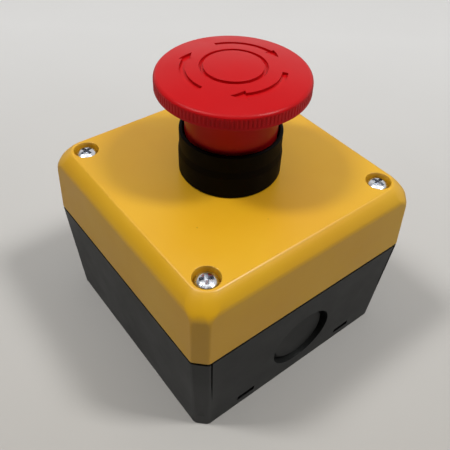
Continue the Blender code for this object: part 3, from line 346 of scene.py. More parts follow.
def shadeSmooth(piece, sharpAngle=32, flatWeight=80):
    # Face-weighted normals keep the broad flats flat beside their fillets
    mergeSlivers(piece)
    piece.data.shade_smooth()
    piece.data.set_sharp_from_angle(angle=math.radians(sharpAngle))
    weighted = piece.modifiers.new("weighted", "WEIGHTED_NORMAL")
    weighted.keep_sharp = True
    weighted.weight = flatWeight
    bakeModifiers(piece)


def finishPiece(piece, slotName, body, *nodes, material=None, lift=0):
    piece.data.transform(Matrix.Translation((0, 0, lift)))
    piece.data.transform(Matrix.Scale(metre, 4))
    piece.data.name = piece.name
    piece.data.materials.clear()
    piece.data.materials.append(material or materials[slotName])
    if body:
        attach(piece, body)
    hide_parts(*nodes)
    print(f"{piece.name}: {len(piece.data.polygons)} faces on {body or 'two bodies'}")
    return piece


# Geometry Nodes helpers

def startTree(name, sockets):
    # A tree with a geometry in, a geometry out and the named sockets
    tree = bpy.data.node_groups.new(name, "GeometryNodeTree")
    tree.interface.new_socket("Geometry", in_out="INPUT", socket_type="NodeSocketGeometry")
    for label, kind in sockets.items():
        tree.interface.new_socket(label, in_out="INPUT", socket_type=kind)
    tree.interface.new_socket("Geometry", in_out="OUTPUT", socket_type="NodeSocketGeometry")
    return tree, addNode(tree, "NodeGroupInput").outputs


def endTree(tree, geometry, material):
    real = addNode(tree, "GeometryNodeRealizeInstances", {"Geometry": geometry})
    coated = addNode(tree, "GeometryNodeSetMaterial", {
        "Geometry": real.outputs["Geometry"], "Material": material})
    addNode(tree, "NodeGroupOutput", {"Geometry": coated.outputs["Geometry"]})


def runTree(piece, tree, values):
    # Inputs are set by identifier before the first evaluation, and the result becomes a plain mesh
    nodes = piece.modifiers.new(tree.name, "NODES")
    nodes.node_group = tree
    for item in tree.interface.items_tree:
        if item.in_out == "INPUT" and item.name in values:
            nodes[item.identifier] = values[item.name]
    bakeModifiers(piece)


# Enclosure

enclosure = {
    "half": 38.35, "draft": 2.5, "parting": 35.75, "bevel": 3.3, "bevelRound": 1.2, "bevelSteps": 6,
    "wall": 3.0, "innerHalf": 35.35, "innerCorner": 2.1, "innerSteps": 8, "tongueWidth": 1.3,
    "screwPlace": 29.63, "screwHole": 1.8,
}


def draftedHalf(z):
    return enclosure["half"] - math.tan(math.radians(enclosure["draft"])) * abs(z - enclosure["parting"])


def bevelLoop(half, leg, soft):
    # A square with its corners cut off flat, and the edges of the cuts rounded
    inset = leg + soft * math.tan(math.radians(22.5))
    steps = enclosure["bevelSteps"]
    return fourTimes(arc(half - soft, half - inset, soft, 0, 45, steps)
                     + arc(half - inset, half - soft, soft, 45, 90, steps))


def innerLoop(half, corner):
    return fourTimes(arc(half - corner, half - corner, corner, 0, 90, enclosure["innerSteps"]))


def smoothShare(value, low, high):
    share = min(max((value - low) / (high - low), 0.0), 1.0)
    return share * share * (3 - 2 * share)


screwSpots = [Matrix.Translation((x, y, 0)) for x, y in fourTimes([(enclosure["screwPlace"],) * 2])]

cover = {
    "foot": 36.0, "footRound": 0.2, "roof": 3.0,
    # Turns from the top face down, at a side and across a corner: radius, end in degrees above level, steps
    "edgeTurns": ((0.9, 54.0, 8), (10.3, 30.0, 10), (3.6, 2.5, 8)),
    "cornerTurns": ((0.9, 58.0, 8), (13.2, 36.0, 10), (5.1, 3.5, 8)),
    "roundSpread": (50.0, 55.5), "fullRound": 1.65,  # heights between which a flat bevel becomes a round
    "footSteps": 3, "sideSteps": 10, "holeSides": 96,
    "wellRadius": 3.55, "wellDepth": 3.3, "wellRound": 0.18, "wellTurn": 75, "wellSteps": 5,
    "wellSides": 64,
    "column": 5.12, "columnFoot": 36.2, "rabbetRoof": 39.5, "rabbetGap": 0.3,
    "holeRadius": 11.15, "notchHalf": 1.7, "notchReach": 12.05,
}


def turnedProfile(turns, side):
    # (distance out, height) from the top face down: crisp crease, bulging slope, soft turn into the side
    points = [(0.0, coverTop)]
    angle = 90.0
    for radius, endAngle, steps in turns:
        x, z = points[-1]
        a = math.radians(angle)
        points += arc(x - radius * math.cos(a), z - radius * math.sin(a), radius, angle, endAngle, steps)[1:]
        angle = endAngle
    shift = side(points[-1][1]) - points[-1][0]
    return [(x + shift, z) for x, z in points]


def bevelReach(z):
    # How far out the flat bevel is along the diagonal, below the corner's slope
    return (2 * draftedHalf(z) - enclosure["bevel"]) / math.sqrt(2)


edgeProfile = turnedProfile(cover["edgeTurns"], draftedHalf)
cornerProfile = turnedProfile(cover["cornerTurns"], bevelReach)


def cornerReach(z):
    for (x1, z1), (x2, z2) in zip(cornerProfile, cornerProfile[1:]):
        if z2 <= z <= z1:
            return x1 + (x2 - x1) * (z1 - z) / (z1 - z2)
    return bevelReach(z)


def coverLoop(half, z):
    leg = 2 * half - math.sqrt(2) * cornerReach(z)
    share = smoothShare(z, *cover["roundSpread"])
    soft = enclosure["bevelRound"] + share * (cover["fullRound"] * leg - enclosure["bevelRound"])
    return bevelLoop(half, leg, soft)


def coverSections():
    c = cover
    soft = c["footRound"]
    sections = []
    for z, inset in arc(c["foot"] + soft, soft, soft, 180, 270, c["footSteps"]):  # rounded lower edge
        half = draftedHalf(z) - inset
        sections.append((bevelLoop(half, enclosure["bevel"], enclosure["bevelRound"]), z))
    edge = edgeProfile[::-1]
    start = c["roundSpread"][0]
    for step in range(c["sideSteps"]):
        z = start + (edge[0][1] - start) * step / c["sideSteps"]
        sections.append((coverLoop(draftedHalf(z), z), z))
    return sections + [(coverLoop(half, z), z) for half, z in edge]


def wellTool(below, above):
    # Flares at its mouth, so the well's rim comes out rounded
    c = cover
    hole, radius, soft = enclosure["screwHole"], c["wellRadius"], c["wellRound"]
    floor = coverTop - c["wellDepth"]
    mouth = arc(radius + soft, coverTop - soft, soft, 180, 180 - c["wellTurn"], c["wellSteps"])
    return turnedMesh([(0, below), (hole, below), (hole, floor), (radius, floor), *mouth,
                       (mouth[-1][0], above), (0, above)], c["wellSides"])


def makeCover():
    c = cover
    e = enclosure
    piece = makeObject(loftMesh(coverSections()), "coverShell")
    insideTop = coverTop - c["roof"]
    below = c["foot"] - past
    above = coverTop + past
    cavity = loftMesh([
        (innerLoop(e["innerHalf"], e["innerCorner"]), below),
        (innerLoop(draftedHalf(insideTop) - e["wall"], e["innerCorner"]), insideTop)])
    spare = e["tongueWidth"] + c["rabbetGap"]
    rabbetLoop = innerLoop(e["innerHalf"] + spare, e["innerCorner"] + spare)
    rabbet = loftMesh([(rabbetLoop, below - past), (rabbetLoop, c["rabbetRoof"])])
    combine(piece, "DIFFERENCE", cavity, rabbet)
    column = (c["column"], c["columnFoot"], coverTop - c["roof"] / 2)
    combine(piece, "UNION", *[moved(rodMesh(*column), at) for at in screwSpots])
    hole = rodMesh(c["holeRadius"], insideTop - past, above, c["holeSides"])
    notch = blockMesh((-c["notchHalf"], 0, insideTop - 1.5 * past),  # its ends lie beyond the hole's
                      (c["notchHalf"], c["notchReach"], above + past / 2))
    combine(piece, "DIFFERENCE", *[moved(wellTool(below, above), at) for at in screwSpots], hole, notch)
    shadeSmooth(piece)
    finishPiece(piece, "yellow_plastic", "station", "cover")


makeCover()

base = {
    "top": 35.5, "lipHeight": 0.3, "lipDepth": 0.55, "lipSlope": 0.01, "floor": 2.6, "tongueTop": 37.9,
    "footBevel": 3.0, "footSoft": 2.0, "footRound": 0.25, "footSteps": 5,
    "boss": 6.02, "pocket": 3.0, "pocketFloor": 23.4, "pocketSides": 24,
    "wallHole": 2.2, "wallHolePlace": 26.35,
    "knockoutRadius": 10.7, "knockoutHeight": 16.0, "knockoutSides": 128, "discRadius": 9.0,
    "discFace": 35.99, "ringFloor": 34.79, "webBack": 34.09,
    "padRadius": 12.9, "padRise": 1.5, "padSides": 48,
    "slotPlace": 20.1, "slotLength": 6.3, "slotHeight": 1.9, "slotRise": 3.9, "slotDepth": 1.5,
    "slotDrop": 1.8, "grooveInset": 3.85, "grooveWidth": 0.5, "grooveDepth": 0.9, "grooveEnd": 14.0,
    "edgeRound": 0.18, "edgeReach": 0.2, "edgeTop": 35.0,
}
toEntry = Matrix.Translation((0, 0, base["knockoutHeight"])) @ turnBy(90, "Y")


def baseSections():
    b = base
    soft = b["footRound"]
    heights = arc(soft, soft, soft, 180, 270, b["footSteps"])  # (height, how far the side is drawn in)
    lip = b["top"] - b["lipHeight"]  # a step under the cover, seen as a dark parting line
    heights += [(lip, 0.0), (lip + b["lipSlope"], b["lipDepth"]), (b["top"], b["lipDepth"])]
    sections = []
    for z, inset in heights:
        share = z / b["top"]
        leg = b["footBevel"] + (enclosure["bevel"] - b["footBevel"]) * share
        soft = b["footSoft"] + (enclosure["bevelRound"] - b["footSoft"]) * share
        sections.append((bevelLoop(draftedHalf(z) - inset, leg, soft), z))
    return sections


def entryTools():
    # Cutters for the +X wall: knockout with its tear-off ring, two low slots that run down inwards,
    # and near each corner a groove that leans with the drafted side and fades out downwards
    b = base
    outside = enclosure["half"] + past
    above = b["top"] + past
    knockout = [(0, b["discFace"]), (b["discRadius"], b["discFace"]), (b["discRadius"], b["ringFloor"]),
                (b["knockoutRadius"], b["ringFloor"]), (b["knockoutRadius"], outside), (0, outside)]
    tools = [moved(turnedMesh(knockout, b["knockoutSides"]), toEntry)]
    face = draftedHalf(b["slotRise"])
    back = face - b["slotDepth"]
    low, high = b["slotRise"] - b["slotHeight"] / 2, b["slotRise"] + b["slotHeight"] / 2
    slot = [(outside, low), (face, low), (back, low - b["slotDrop"]), (back, high - b["slotDrop"]),
            (face, high), (outside, high)]
    onEdge = turnBy(90, "X")
    for y in (b["slotPlace"], -b["slotPlace"]):
        end = Matrix.Translation((0, y + b["slotLength"] / 2, 0))
        tools.append(moved(loftMesh([(slot, 0), (slot, b["slotLength"])]), end @ onEdge))
    wedge = [(draftedHalf(b["grooveEnd"]), b["grooveEnd"]), (outside, b["grooveEnd"]), (outside, above),
             (enclosure["half"] - b["grooveDepth"], above)]
    insets = (b["grooveInset"], b["grooveInset"] + b["grooveWidth"])
    for side in (1, -1):
        loops = [[(x, side * (draftedHalf(z) - inset), z) for x, z in wedge] for inset in insets]
        tools.append(skinMesh(loops))
    return tools


def softenEdges(piece, wanted, width, sharpAngle=40, segments=3):
    # Bevels the sharp edges for which wanted(middle of the edge) is true
    bm = bmesh.new()
    bm.from_mesh(piece.data)
    least = math.radians(sharpAngle)
    sharp = [e for e in bm.edges if len(e.link_faces) == 2 and e.calc_face_angle(0) > least]
    edges = [e for e in sharp if wanted((e.verts[0].co + e.verts[1].co) / 2)]
    bmesh.ops.bevel(bm, geom=edges, offset=width, segments=segments, profile=0.5,
                    affect="EDGES", clamp_overlap=True)
    bm.to_mesh(piece.data)
    bm.free()


def onEntryFace(p):
    b = base
    outer = abs(p.x) > draftedHalf(p.z) - b["edgeReach"]
    return outer and b["footRound"] < p.z < b["edgeTop"] and abs(p.y) < b["slotPlace"] + b["slotLength"]


def makeBase():
    b = base
    e = enclosure
    piece = makeObject(loftMesh(baseSections()), "baseShell")
    tongueHalf = e["innerHalf"] + e["tongueWidth"]
    tongueLoop = innerLoop(tongueHalf, e["innerCorner"] + e["tongueWidth"])
    tongue = loftMesh([(tongueLoop, b["floor"] + e["wall"]), (tongueLoop, b["tongueTop"])])
    combine(piece, "UNION", tongue)
    mouthLoop = innerLoop(e["innerHalf"], e["innerCorner"])
    floorLoop = innerLoop(draftedHalf(b["floor"]) - e["wall"], e["innerCorner"])
    above = b["tongueTop"] + past
    room = loftMesh([(floorLoop, b["floor"]), (mouthLoop, b["top"]), (mouthLoop, above)])
    combine(piece, "DIFFERENCE", room)
    boss = (b["boss"], b["floor"] / 2, b["top"])
    combine(piece, "UNION", *[moved(rodMesh(*boss), at) for at in screwSpots])
    pocket = (b["pocket"], b["pocketFloor"], above, b["pocketSides"])
    wallHole = (b["wallHole"], -past, b["floor"] + past)
    holes = [moved(rodMesh(*pocket), at) for at in screwSpots]
    holes += [moved(rodMesh(*wallHole), Matrix.Translation((0, y, 0)))
              for y in (b["wallHolePlace"], -b["wallHolePlace"])]
    combine(piece, "DIFFERENCE", *holes)
    pad = (b["padRadius"], b["webBack"], b["webBack"] + b["padRise"], b["padSides"])
    for turn in (0, 180):
        facing = turnBy(turn)
        combine(piece, "UNION", moved(rodMesh(*pad), facing @ toEntry))
        combine(piece, "DIFFERENCE", *[moved(tool, facing) for tool in entryTools()])
    softenEdges(piece, onEntryFace, b["edgeRound"])
    shadeSmooth(piece)
    finishPiece(piece, "grey_plastic", "station", "base")


makeBase()


# Operator

bezel = {
    "mouth": 13.0, "radius": 14.06, "height": 13.5, "topRound": 0.5, "mouthRound": 0.3,
    "tierRadius": 14.36, "tierHeight": 6.5, "tierTaper": 2.0, "foot": 0.3,
    "recess": 13.3, "recessRoof": 1.2, "tube": 10.7, "tubeLength": 17.5, "bore": 7.4, "pocketFloor": 5.4,
    "floorRound": 0.3, "boreRound": 0.2, "tubeRound": 0.4, "tierFootRound": 0.3, "tierRound": 0.6,
    "roundSteps": 6, "sides": 160,
    "keyHalf": 1.4, "keyStart": 7.7, "keyEnd": 11.75, "keyFoot": -3.0,
    "pawlHalf": 2.1, "pawlReach": 13.11, "pawlLow": 1.9, "pawlHigh": 4.1,
    "keywayHalf": 1.9, "keywayEnd": 9.1, "keywayTop": -6.0,
    "reliefRadius": 1.9, "reliefPlace": 5.2, "reliefTop": -16.4, "reliefSides": 24,
}


def makeBezel():
    b = bezel
    corners = [
        (b["mouth"], b["height"], b["mouthRound"]),
        (b["mouth"], b["pocketFloor"], b["floorRound"]),
        (b["bore"], b["pocketFloor"], b["boreRound"]),
        (b["bore"], -b["tubeLength"], b["boreRound"]),
        (b["tube"], -b["tubeLength"], b["tubeRound"]),
        (b["tube"], b["recessRoof"], 0),
        (b["recess"], b["recessRoof"], 0),
        (b["recess"], b["foot"], 0),
        (b["tierRadius"], b["foot"], b["tierFootRound"]),
        (b["tierRadius"], b["tierHeight"], b["tierRound"]),
        (b["radius"], b["tierHeight"] + b["tierTaper"], b["tierRound"]),
        (b["radius"], b["height"], b["topRound"]),
    ]
    piece = makeObject(turnedMesh(roundedOutline(corners, b["roundSteps"]), b["sides"]), "bezelBody")
    combine(piece, "UNION", blockMesh((-b["keyHalf"], b["keyStart"], b["keyFoot"]),
                                      (b["keyHalf"], b["keyEnd"], b["recessRoof"] + past)))
    low = -b["tubeLength"] - past
    aside = Matrix.Translation((b["reliefPlace"], 0, 0))
    tools = []
    for turn in (0, 180):
        facing = turnBy(turn)
        across = turnBy(turn + 90)
        pawlWay = blockMesh((0, -b["pawlHalf"], b["pawlLow"]), (b["pawlReach"], b["pawlHalf"], b["pawlHigh"]))
        keyway = blockMesh((0, -b["keywayHalf"], low), (b["keywayEnd"], b["keywayHalf"], b["keywayTop"]))
        relief = rodMesh(b["reliefRadius"], low, b["reliefTop"], b["reliefSides"])
        tools += [moved(pawlWay, facing), moved(keyway, across), moved(relief, facing @ aside)]
    combine(piece, "DIFFERENCE", *tools)
    shadeSmooth(piece)
    finishPiece(piece, "black_plastic", "station", "operator_body", lift=coverTop)


makeBezel()

head = {
    "radius": 20.0, "rimFoot": 25.68, "edgeRound": 1.4, "edgeSteps": 10, "apex": 31.44, "domeRadius": 90.59,
    "capHole": 8.25, "brink": 8.6, "brinkRound": 0.12, "brinkTurn": 60, "brinkSteps": 2,
    "grooveDepth": 0.65, "domeSteps": 22, "sides": 240,
    "ribCount": 120, "ribDepth": 0.15, "ribHalfWidth": 0.34, "ribSteps": 8, "roundSteps": 6,
    "ribSink": 0.02, "ribRise": 0.03,  # a rib stays under the rim's rounding and ends where it meets it
    "lip": 0.5, "lipRound": 0.14, "lipCut": 0.04, "footRound": 0.2,
    "skirtTop": 12.75, "skirtFoot": 12.48, "skirtFootLevel": 10.0, "skirtFillet": 0.8, "skirtInner": 10.78,
    "hub": 6.4, "hubFoot": 14.48, "socket": 3.5, "socketTop": 24.38, "screwHole": 1.8,
    "screwSeat": 26.84, "counterbore": 3.25, "capSeat": 28.74, "sharpAngle": 30,
    "arrowCount": 3, "arrowRadius": 12.75, "arrowWidth": 1.45, "arrowHeadWidth": 3.2, "arrowTip": 0.12,
    "arrowDepth": 0.7, "arrowSteps": 40, "arrowHeadSteps": 8,
    "arrowTail": 44.5, "arrowSpan": 85.5, "arrowHeadSpan": 17.0, "arrowShoulder": 0.3,  # degrees
    "capTop": 7.6, "capRadius": 8.15, "capFoot": 29.04, "capSteps": 10, "capSides": 128,
}


def domeLevel(radius):
    return head["apex"] - head["domeRadius"] + math.sqrt(head["domeRadius"] ** 2 - radius ** 2)


def rimMiddle():
    # Middle of the rim's rounding, and the angle at which it runs into the dome without a kink
    h = head
    reach = h["radius"] - h["edgeRound"]
    inner = h["domeRadius"] - h["edgeRound"]
    level = h["apex"] - h["domeRadius"] + math.sqrt(inner ** 2 - reach ** 2)
    return reach, level, math.degrees(math.acos(reach / inner))


def rimReach(z):
    # How far out the rim's surface is at a height, without its ribs' grooves
    reach, level, _ = rimMiddle()
    return reach + math.sqrt(head["edgeRound"] ** 2 - max(z - level, 0.0) ** 2)


def headOutline():
    h = head
    reach, level, upper = rimMiddle()
    band = h["radius"] - h["ribDepth"]
    lower = math.degrees(math.acos((band - reach) / h["edgeRound"]))
    edge = h["domeRadius"] * math.cos(math.radians(upper))
    soft = h["brinkRound"]
    grooveFloor = domeLevel(h["brink"]) - h["grooveDepth"]
    start = h["brink"] + soft
    outline = [(h["capHole"], grooveFloor), (h["brink"], grooveFloor)]
    outline += arc(start, domeLevel(start) - soft, soft, 180, 180 - h["brinkTurn"], h["brinkSteps"])
    for step in range(h["domeSteps"]):
        r = start + (edge - start) * step / h["domeSteps"]
        outline.append((r, domeLevel(r)))
    outline += arc(reach, level, h["edgeRound"], upper, lower, h["edgeSteps"])  # down to where the ribs begin
    rim, foot, fillet = h["radius"], h["rimFoot"], h["skirtFillet"]
    outline += [
        (band, foot + h["lip"] + 2 * h["ribDepth"]), (rim, foot + h["lip"]), (rim, foot + h["lipRound"]),
        (rim - h["lipCut"], foot + h["lipCut"]), (rim - h["lipRound"], foot),
    ]
    outline += arc(h["skirtTop"] + fillet, foot - fillet, fillet, 90, 180, h["roundSteps"])
    end, soft = h["skirtFootLevel"], h["footRound"]
    outline += [
        (h["skirtFoot"], end + soft), (h["skirtFoot"] - soft, end), (h["skirtInner"] + soft, end),
        (h["skirtInner"], end + soft), (h["skirtInner"], foot), (h["hub"], foot), (h["hub"], h["hubFoot"]),
        (h["socket"], h["hubFoot"]), (h["socket"], h["socketTop"]), (h["screwHole"], h["socketTop"]),
        (h["screwHole"], h["screwSeat"]), (h["counterbore"], h["screwSeat"]),
        (h["counterbore"], h["capSeat"]), (h["capHole"], h["capSeat"]),
    ]
    return outline


def arrowTool(tail):
    # A band along a circle that widens into an arrowhead, its floor an even depth under the dome
    h = head
    neck = h["arrowSpan"] - h["arrowHeadSpan"]
    shoulder = neck + h["arrowShoulder"]
    stations = [(neck * i / h["arrowSteps"], h["arrowWidth"]) for i in range(h["arrowSteps"] + 1)]
    for i in range(h["arrowHeadSteps"] + 1):
        share = i / h["arrowHeadSteps"]
        width = h["arrowHeadWidth"] * (1 - share) + h["arrowTip"] * share
        stations.append((shoulder + (h["arrowSpan"] - shoulder) * share, width))
    loops = []
    for along, width in stations:
        a = math.radians(tail - along)
        inner, outer = h["arrowRadius"] - width / 2, h["arrowRadius"] + width / 2
        corners = [(inner, domeLevel(inner) - h["arrowDepth"]), (outer, domeLevel(outer) - h["arrowDepth"]),
                   (outer, h["apex"] + past), (inner, h["apex"] + past)]
        loops.append([(r * math.cos(a), r * math.sin(a), z) for r, z in corners])
    return skinMesh(loops)


def ribMesh():
    # One half-round rib on the +X side, which thins out upwards on the rim's rounding
    h = head
    reach, level, _ = rimMiddle()
    band = h["radius"] - h["ribDepth"]
    foot = h["rimFoot"] + h["lip"] / 2
    top = level + math.sqrt(h["edgeRound"] ** 2 - (band + h["ribRise"] - reach) ** 2)
    back, half = band - h["ribDepth"], h["ribHalfWidth"]
    sections = []
    for z in (foot, *[level + (top - level) * step / h["ribSteps"] for step in range(h["ribSteps"] + 1)]):
        depth = rimReach(z) - band - h["ribSink"]
        crest = [(band + depth * x, half * y) for x, y in arc(0, 0, 1, -90, 90, h["roundSteps"])]
        sections.append(([(back, -half), *crest, (back, half)], z))
    return loftMesh(sections)


def ribTree():
    # Repeats one rib round the rim and joins the ribs to the head as one skin
    tree, given = startTree("rimRibs", {
        "Rib": "NodeSocketObject", "Rib count": "NodeSocketInt", "Step": "NodeSocketFloat",
        "Material": "NodeSocketMaterial"})
    middle = addNode(tree, "GeometryNodePoints", {"Count": given["Rib count"]})
    rib = addNode(tree, "GeometryNodeObjectInfo", {"Object": given["Rib"]})
    index = addNode(tree, "GeometryNodeInputIndex")
    angle = addNode(tree, "ShaderNodeMath", {0: index.outputs[0], 1: given["Step"]}, operation="MULTIPLY")
    turn = addNode(tree, "ShaderNodeCombineXYZ", {"Z": angle.outputs[0]})
    ribs = addNode(tree, "GeometryNodeInstanceOnPoints", {
        "Points": middle.outputs[0], "Instance": rib.outputs["Geometry"], "Rotation": turn.outputs[0]})
    real = addNode(tree, "GeometryNodeRealizeInstances", {"Geometry": ribs.outputs["Instances"]})
    skin = addNode(tree, "GeometryNodeMeshBoolean", {"Mesh 2": given["Geometry"]},
                   operation="UNION", solver="EXACT")
    tree.links.new(real.outputs["Geometry"], skin.inputs["Mesh 2"])
    endTree(tree, skin.outputs["Mesh"], given["Material"])
    return tree


def makeHead():
    h = head
    piece = makeObject(turnedMesh(headOutline(), h["sides"]), "mushroomHead")
    tails = [h["arrowTail"] + 360 * i / h["arrowCount"] for i in range(h["arrowCount"])]
    combine(piece, "DIFFERENCE", *[arrowTool(tail) for tail in tails])
    rib = makeObject(ribMesh(), "ribShape")
    runTree(piece, ribTree(), {
        "Rib": rib, "Rib count": h["ribCount"], "Step": 2 * math.pi / h["ribCount"],
        "Material": materials["red_plastic"]})
    bpy.data.objects.remove(rib)
    shadeSmooth(piece, h["sharpAngle"])
    finishPiece(piece, "red_plastic", "head_set", "head", lift=coverTop)


def makeHeadCap():
    h = head
    soft, foot, side = h["brinkRound"], h["capFoot"], h["capRadius"]
    flat = h["capTop"] - soft
    radii = [flat * i / h["capSteps"] for i in range(h["capSteps"] + 1)]
    outline = [(r, domeLevel(r)) for r in radii]
    outline += arc(flat, domeLevel(flat) - soft, soft, h["brinkTurn"], 0, h["brinkSteps"])
    ledge = domeLevel(h["brink"]) - h["grooveDepth"]
    outline += [(h["capTop"], ledge), (side, ledge), (side, foot + h["footRound"]),
                (side - h["footRound"], foot), (0, foot)]
    piece = makeObject(turnedMesh(outline, h["capSides"]), "headCap")
    shadeSmooth(piece)
    finishPiece(piece, "red_plastic", "head_set", "head_cap", lift=coverTop)


makeHead()
makeHeadCap()


# Cover screws

screw = {
    "seat": 54.4, "headRadius": 2.95, "headHeight": 2.7, "headEdge": 1.85, "edgeRound": 0.8,
    "footRound": 0.12, "crownRadius": 1.7, "crownLevel": 2.6, "crownRound": 2.0,
    "shank": 1.5, "tipRound": 0.5, "length": 30.0, "sides": 48, "roundSteps": 8, "sharpAngle": 35,
    "recessArm": 1.9, "recessHalf": 0.5, "recessDepth": 1.6,
    "recessFloor": (0.55, 0.7), "recessOver": (1.2, 1.1),  # shares of arm and half, at its floor and above it
    "spread": 2 * enclosure["screwPlace"], "seed": 4,
}


def screwMesh():
    s = screw
    corners = [(0, -s["length"], 0), (s["shank"], -s["length"], s["tipRound"]), (s["shank"], 0, 0),
               (s["headRadius"], 0, s["footRound"]), (s["headRadius"], s["headEdge"], s["edgeRound"]),
               (s["crownRadius"], s["crownLevel"], s["crownRound"]), (0, s["headHeight"], 0)]
    piece = makeObject(turnedMesh(roundedOutline(corners, s["roundSteps"]), s["sides"]), "screwShape")
    top = s["headHeight"]
    cross = []
    for (long, wide), z in ((s["recessFloor"], top - s["recessDepth"]), ((1, 1), top),
                            (s["recessOver"], top + past / 2)):
        arm, half = s["recessArm"] * long, s["recessHalf"] * wide
        cross.append((fourTimes([(arm, -half), (arm, half), (half, half)]), z))
    combine(piece, "DIFFERENCE", loftMesh(cross))
    piece.data.shade_smooth()
    piece.data.set_sharp_from_angle(angle=math.radians(s["sharpAngle"]))
    return piece


def screwTree():
    # A screw on each corner of a square, each driven home at its own angle
    tree, given = startTree("coverScrews", {
        "Screw": "NodeSocketObject", "Spread": "NodeSocketFloat", "Seat": "NodeSocketFloat",
        "Seed": "NodeSocketInt", "Material": "NodeSocketMaterial"})
    corners = addNode(tree, "GeometryNodeMeshGrid", {
        "Size X": given["Spread"], "Size Y": given["Spread"], "Vertices X": 2, "Vertices Y": 2})
    height = addNode(tree, "ShaderNodeCombineXYZ", {"Z": given["Seat"]})
    seats = addNode(tree, "GeometryNodeSetPosition", {
        "Geometry": corners.outputs["Mesh"], "Offset": height.outputs[0]})
    shape = addNode(tree, "GeometryNodeObjectInfo", {"Object": given["Screw"]})
    drive = addNode(tree, "FunctionNodeRandomValue", {
        "Min": (0.0, 0.0, 0.0), "Max": (0.0, 0.0, math.pi / 2),
        "Seed": given["Seed"]}, data_type="FLOAT_VECTOR")
    screws = addNode(tree, "GeometryNodeInstanceOnPoints", {
        "Points": seats.outputs["Geometry"], "Instance": shape.outputs["Geometry"],
        "Rotation": drive.outputs["Value"]})
    endTree(tree, screws.outputs["Instances"], given["Material"])
    return tree


def makeScrews():
    s = screw
    shape = screwMesh()
    piece = makeObject(bmesh.new(), "coverScrews")
    runTree(piece, screwTree(), {
        "Screw": shape, "Spread": s["spread"], "Seat": s["seat"], "Seed": s["seed"],
        "Material": materials["zinc"]})
    bpy.data.objects.remove(shape)
    finishPiece(piece, "zinc", "station", *[f"cover_screw_{i}" for i in range(1, 5)])


makeScrews()


# Springs: one tree winds them all

upright = {"lean": 0, "turn": 0}
contactSpring = {"body": "station", "wire": 0.3, "radius": 2.3, "length": 9.4, "turns": 6, **upright}
pawlSpring = {"body": None, "wire": 0.15, "radius": 0.65, "length": 2.5, "turns": 4, "lean": 90}
springs = {
    "mainSpring": {"node": "main_spring", "body": "station", "wire": 0.55, "radius": 9.43, "length": 19.68,
                   "turns": 8, "place": (0, 0, 63.1), **upright},
    "resetSpring": {"node": "reset_spring", "body": "pusher_set", "wire": 0.4, "radius": 5.7, "length": 7.2,
                    "turns": 5, "place": (0, 0, 45.0), **upright},
    "contactSpringA": {**contactSpring, "node": "contact_spring_a", "place": (5.2, 0, 11.0)},
    "contactSpringB": {**contactSpring, "node": "contact_spring_b", "place": (-5.2, 0, 11.0)},
    "pawlSpring1": {**pawlSpring, "node": "pawl_spring_1", "place": (10.3, 0, 60.4), "turn": 0},
    "pawlSpring2": {**pawlSpring, "node": "pawl_spring_2", "place": (-10.3, 0, 60.4), "turn": 180},
}
pressed = {"mainSpring": "head_push", "contactSpringA": "contact_a_push", "contactSpringB": "contact_b_push"}
drawn = {"pawlSpring1": "pawl_1", "pawlSpring2": "pawl_2"}  # each sits behind its pawl; its mesh is only baked in place
coil = {"pointsPerTurn": 32, "wireSides": 12, "endTurns": 1.0, "endPitch": 1.3}  # end pitch in wire diameters


def springTree():
    # A line wound round Z: each turn climbs the close pitch, and those between the ends share the spare rise
    tree, given = startTree("woundSpring", {
        "Wire radius": "NodeSocketFloat", "Coil radius": "NodeSocketFloat", "Sweep": "NodeSocketFloat",
        "Close rise": "NodeSocketFloat", "Spare rise": "NodeSocketFloat",
        "Spare start": "NodeSocketFloat", "Spare end": "NodeSocketFloat",
        "Points": "NodeSocketInt", "Wire sides": "NodeSocketInt", "Material": "NodeSocketMaterial"})
    line = addNode(tree, "GeometryNodeCurvePrimitiveLine")
    points = addNode(tree, "GeometryNodeResampleCurve", {
        "Curve": line.outputs["Curve"], "Count": given["Points"]})
    along = addNode(tree, "GeometryNodeSplineParameter").outputs["Factor"]
    angle = addNode(tree, "ShaderNodeMath", {0: along, 1: given["Sweep"]}, operation="MULTIPLY")
    climb = addNode(tree, "ShaderNodeMath", {
        0: along, 1: given["Close rise"], 2: given["Wire radius"]}, operation="MULTIPLY_ADD")
    spareShare = addNode(tree, "ShaderNodeMapRange", {
        "Value": along, "From Min": given["Spare start"], "From Max": given["Spare end"]})
    rise = addNode(tree, "ShaderNodeMath", {
        0: spareShare.outputs["Result"], 1: given["Spare rise"],
        2: climb.outputs[0]}, operation="MULTIPLY_ADD")
    spoke = addNode(tree, "ShaderNodeCombineXYZ", {"X": given["Coil radius"], "Z": rise.outputs[0]})
    place = addNode(tree, "ShaderNodeVectorRotate", {
        "Vector": spoke.outputs[0], "Angle": angle.outputs[0]}, rotation_type="Z_AXIS")
    wound = addNode(tree, "GeometryNodeSetPosition", {
        "Geometry": points.outputs["Curve"], "Position": place.outputs[0]})
    section = addNode(tree, "GeometryNodeCurvePrimitiveCircle", {
        "Resolution": given["Wire sides"], "Radius": given["Wire radius"]})
    wire = addNode(tree, "GeometryNodeCurveToMesh", {
        "Curve": wound.outputs["Geometry"], "Profile Curve": section.outputs["Curve"], "Fill Caps": True})
    endTree(tree, wire.outputs["Mesh"], given["Material"])
    return tree


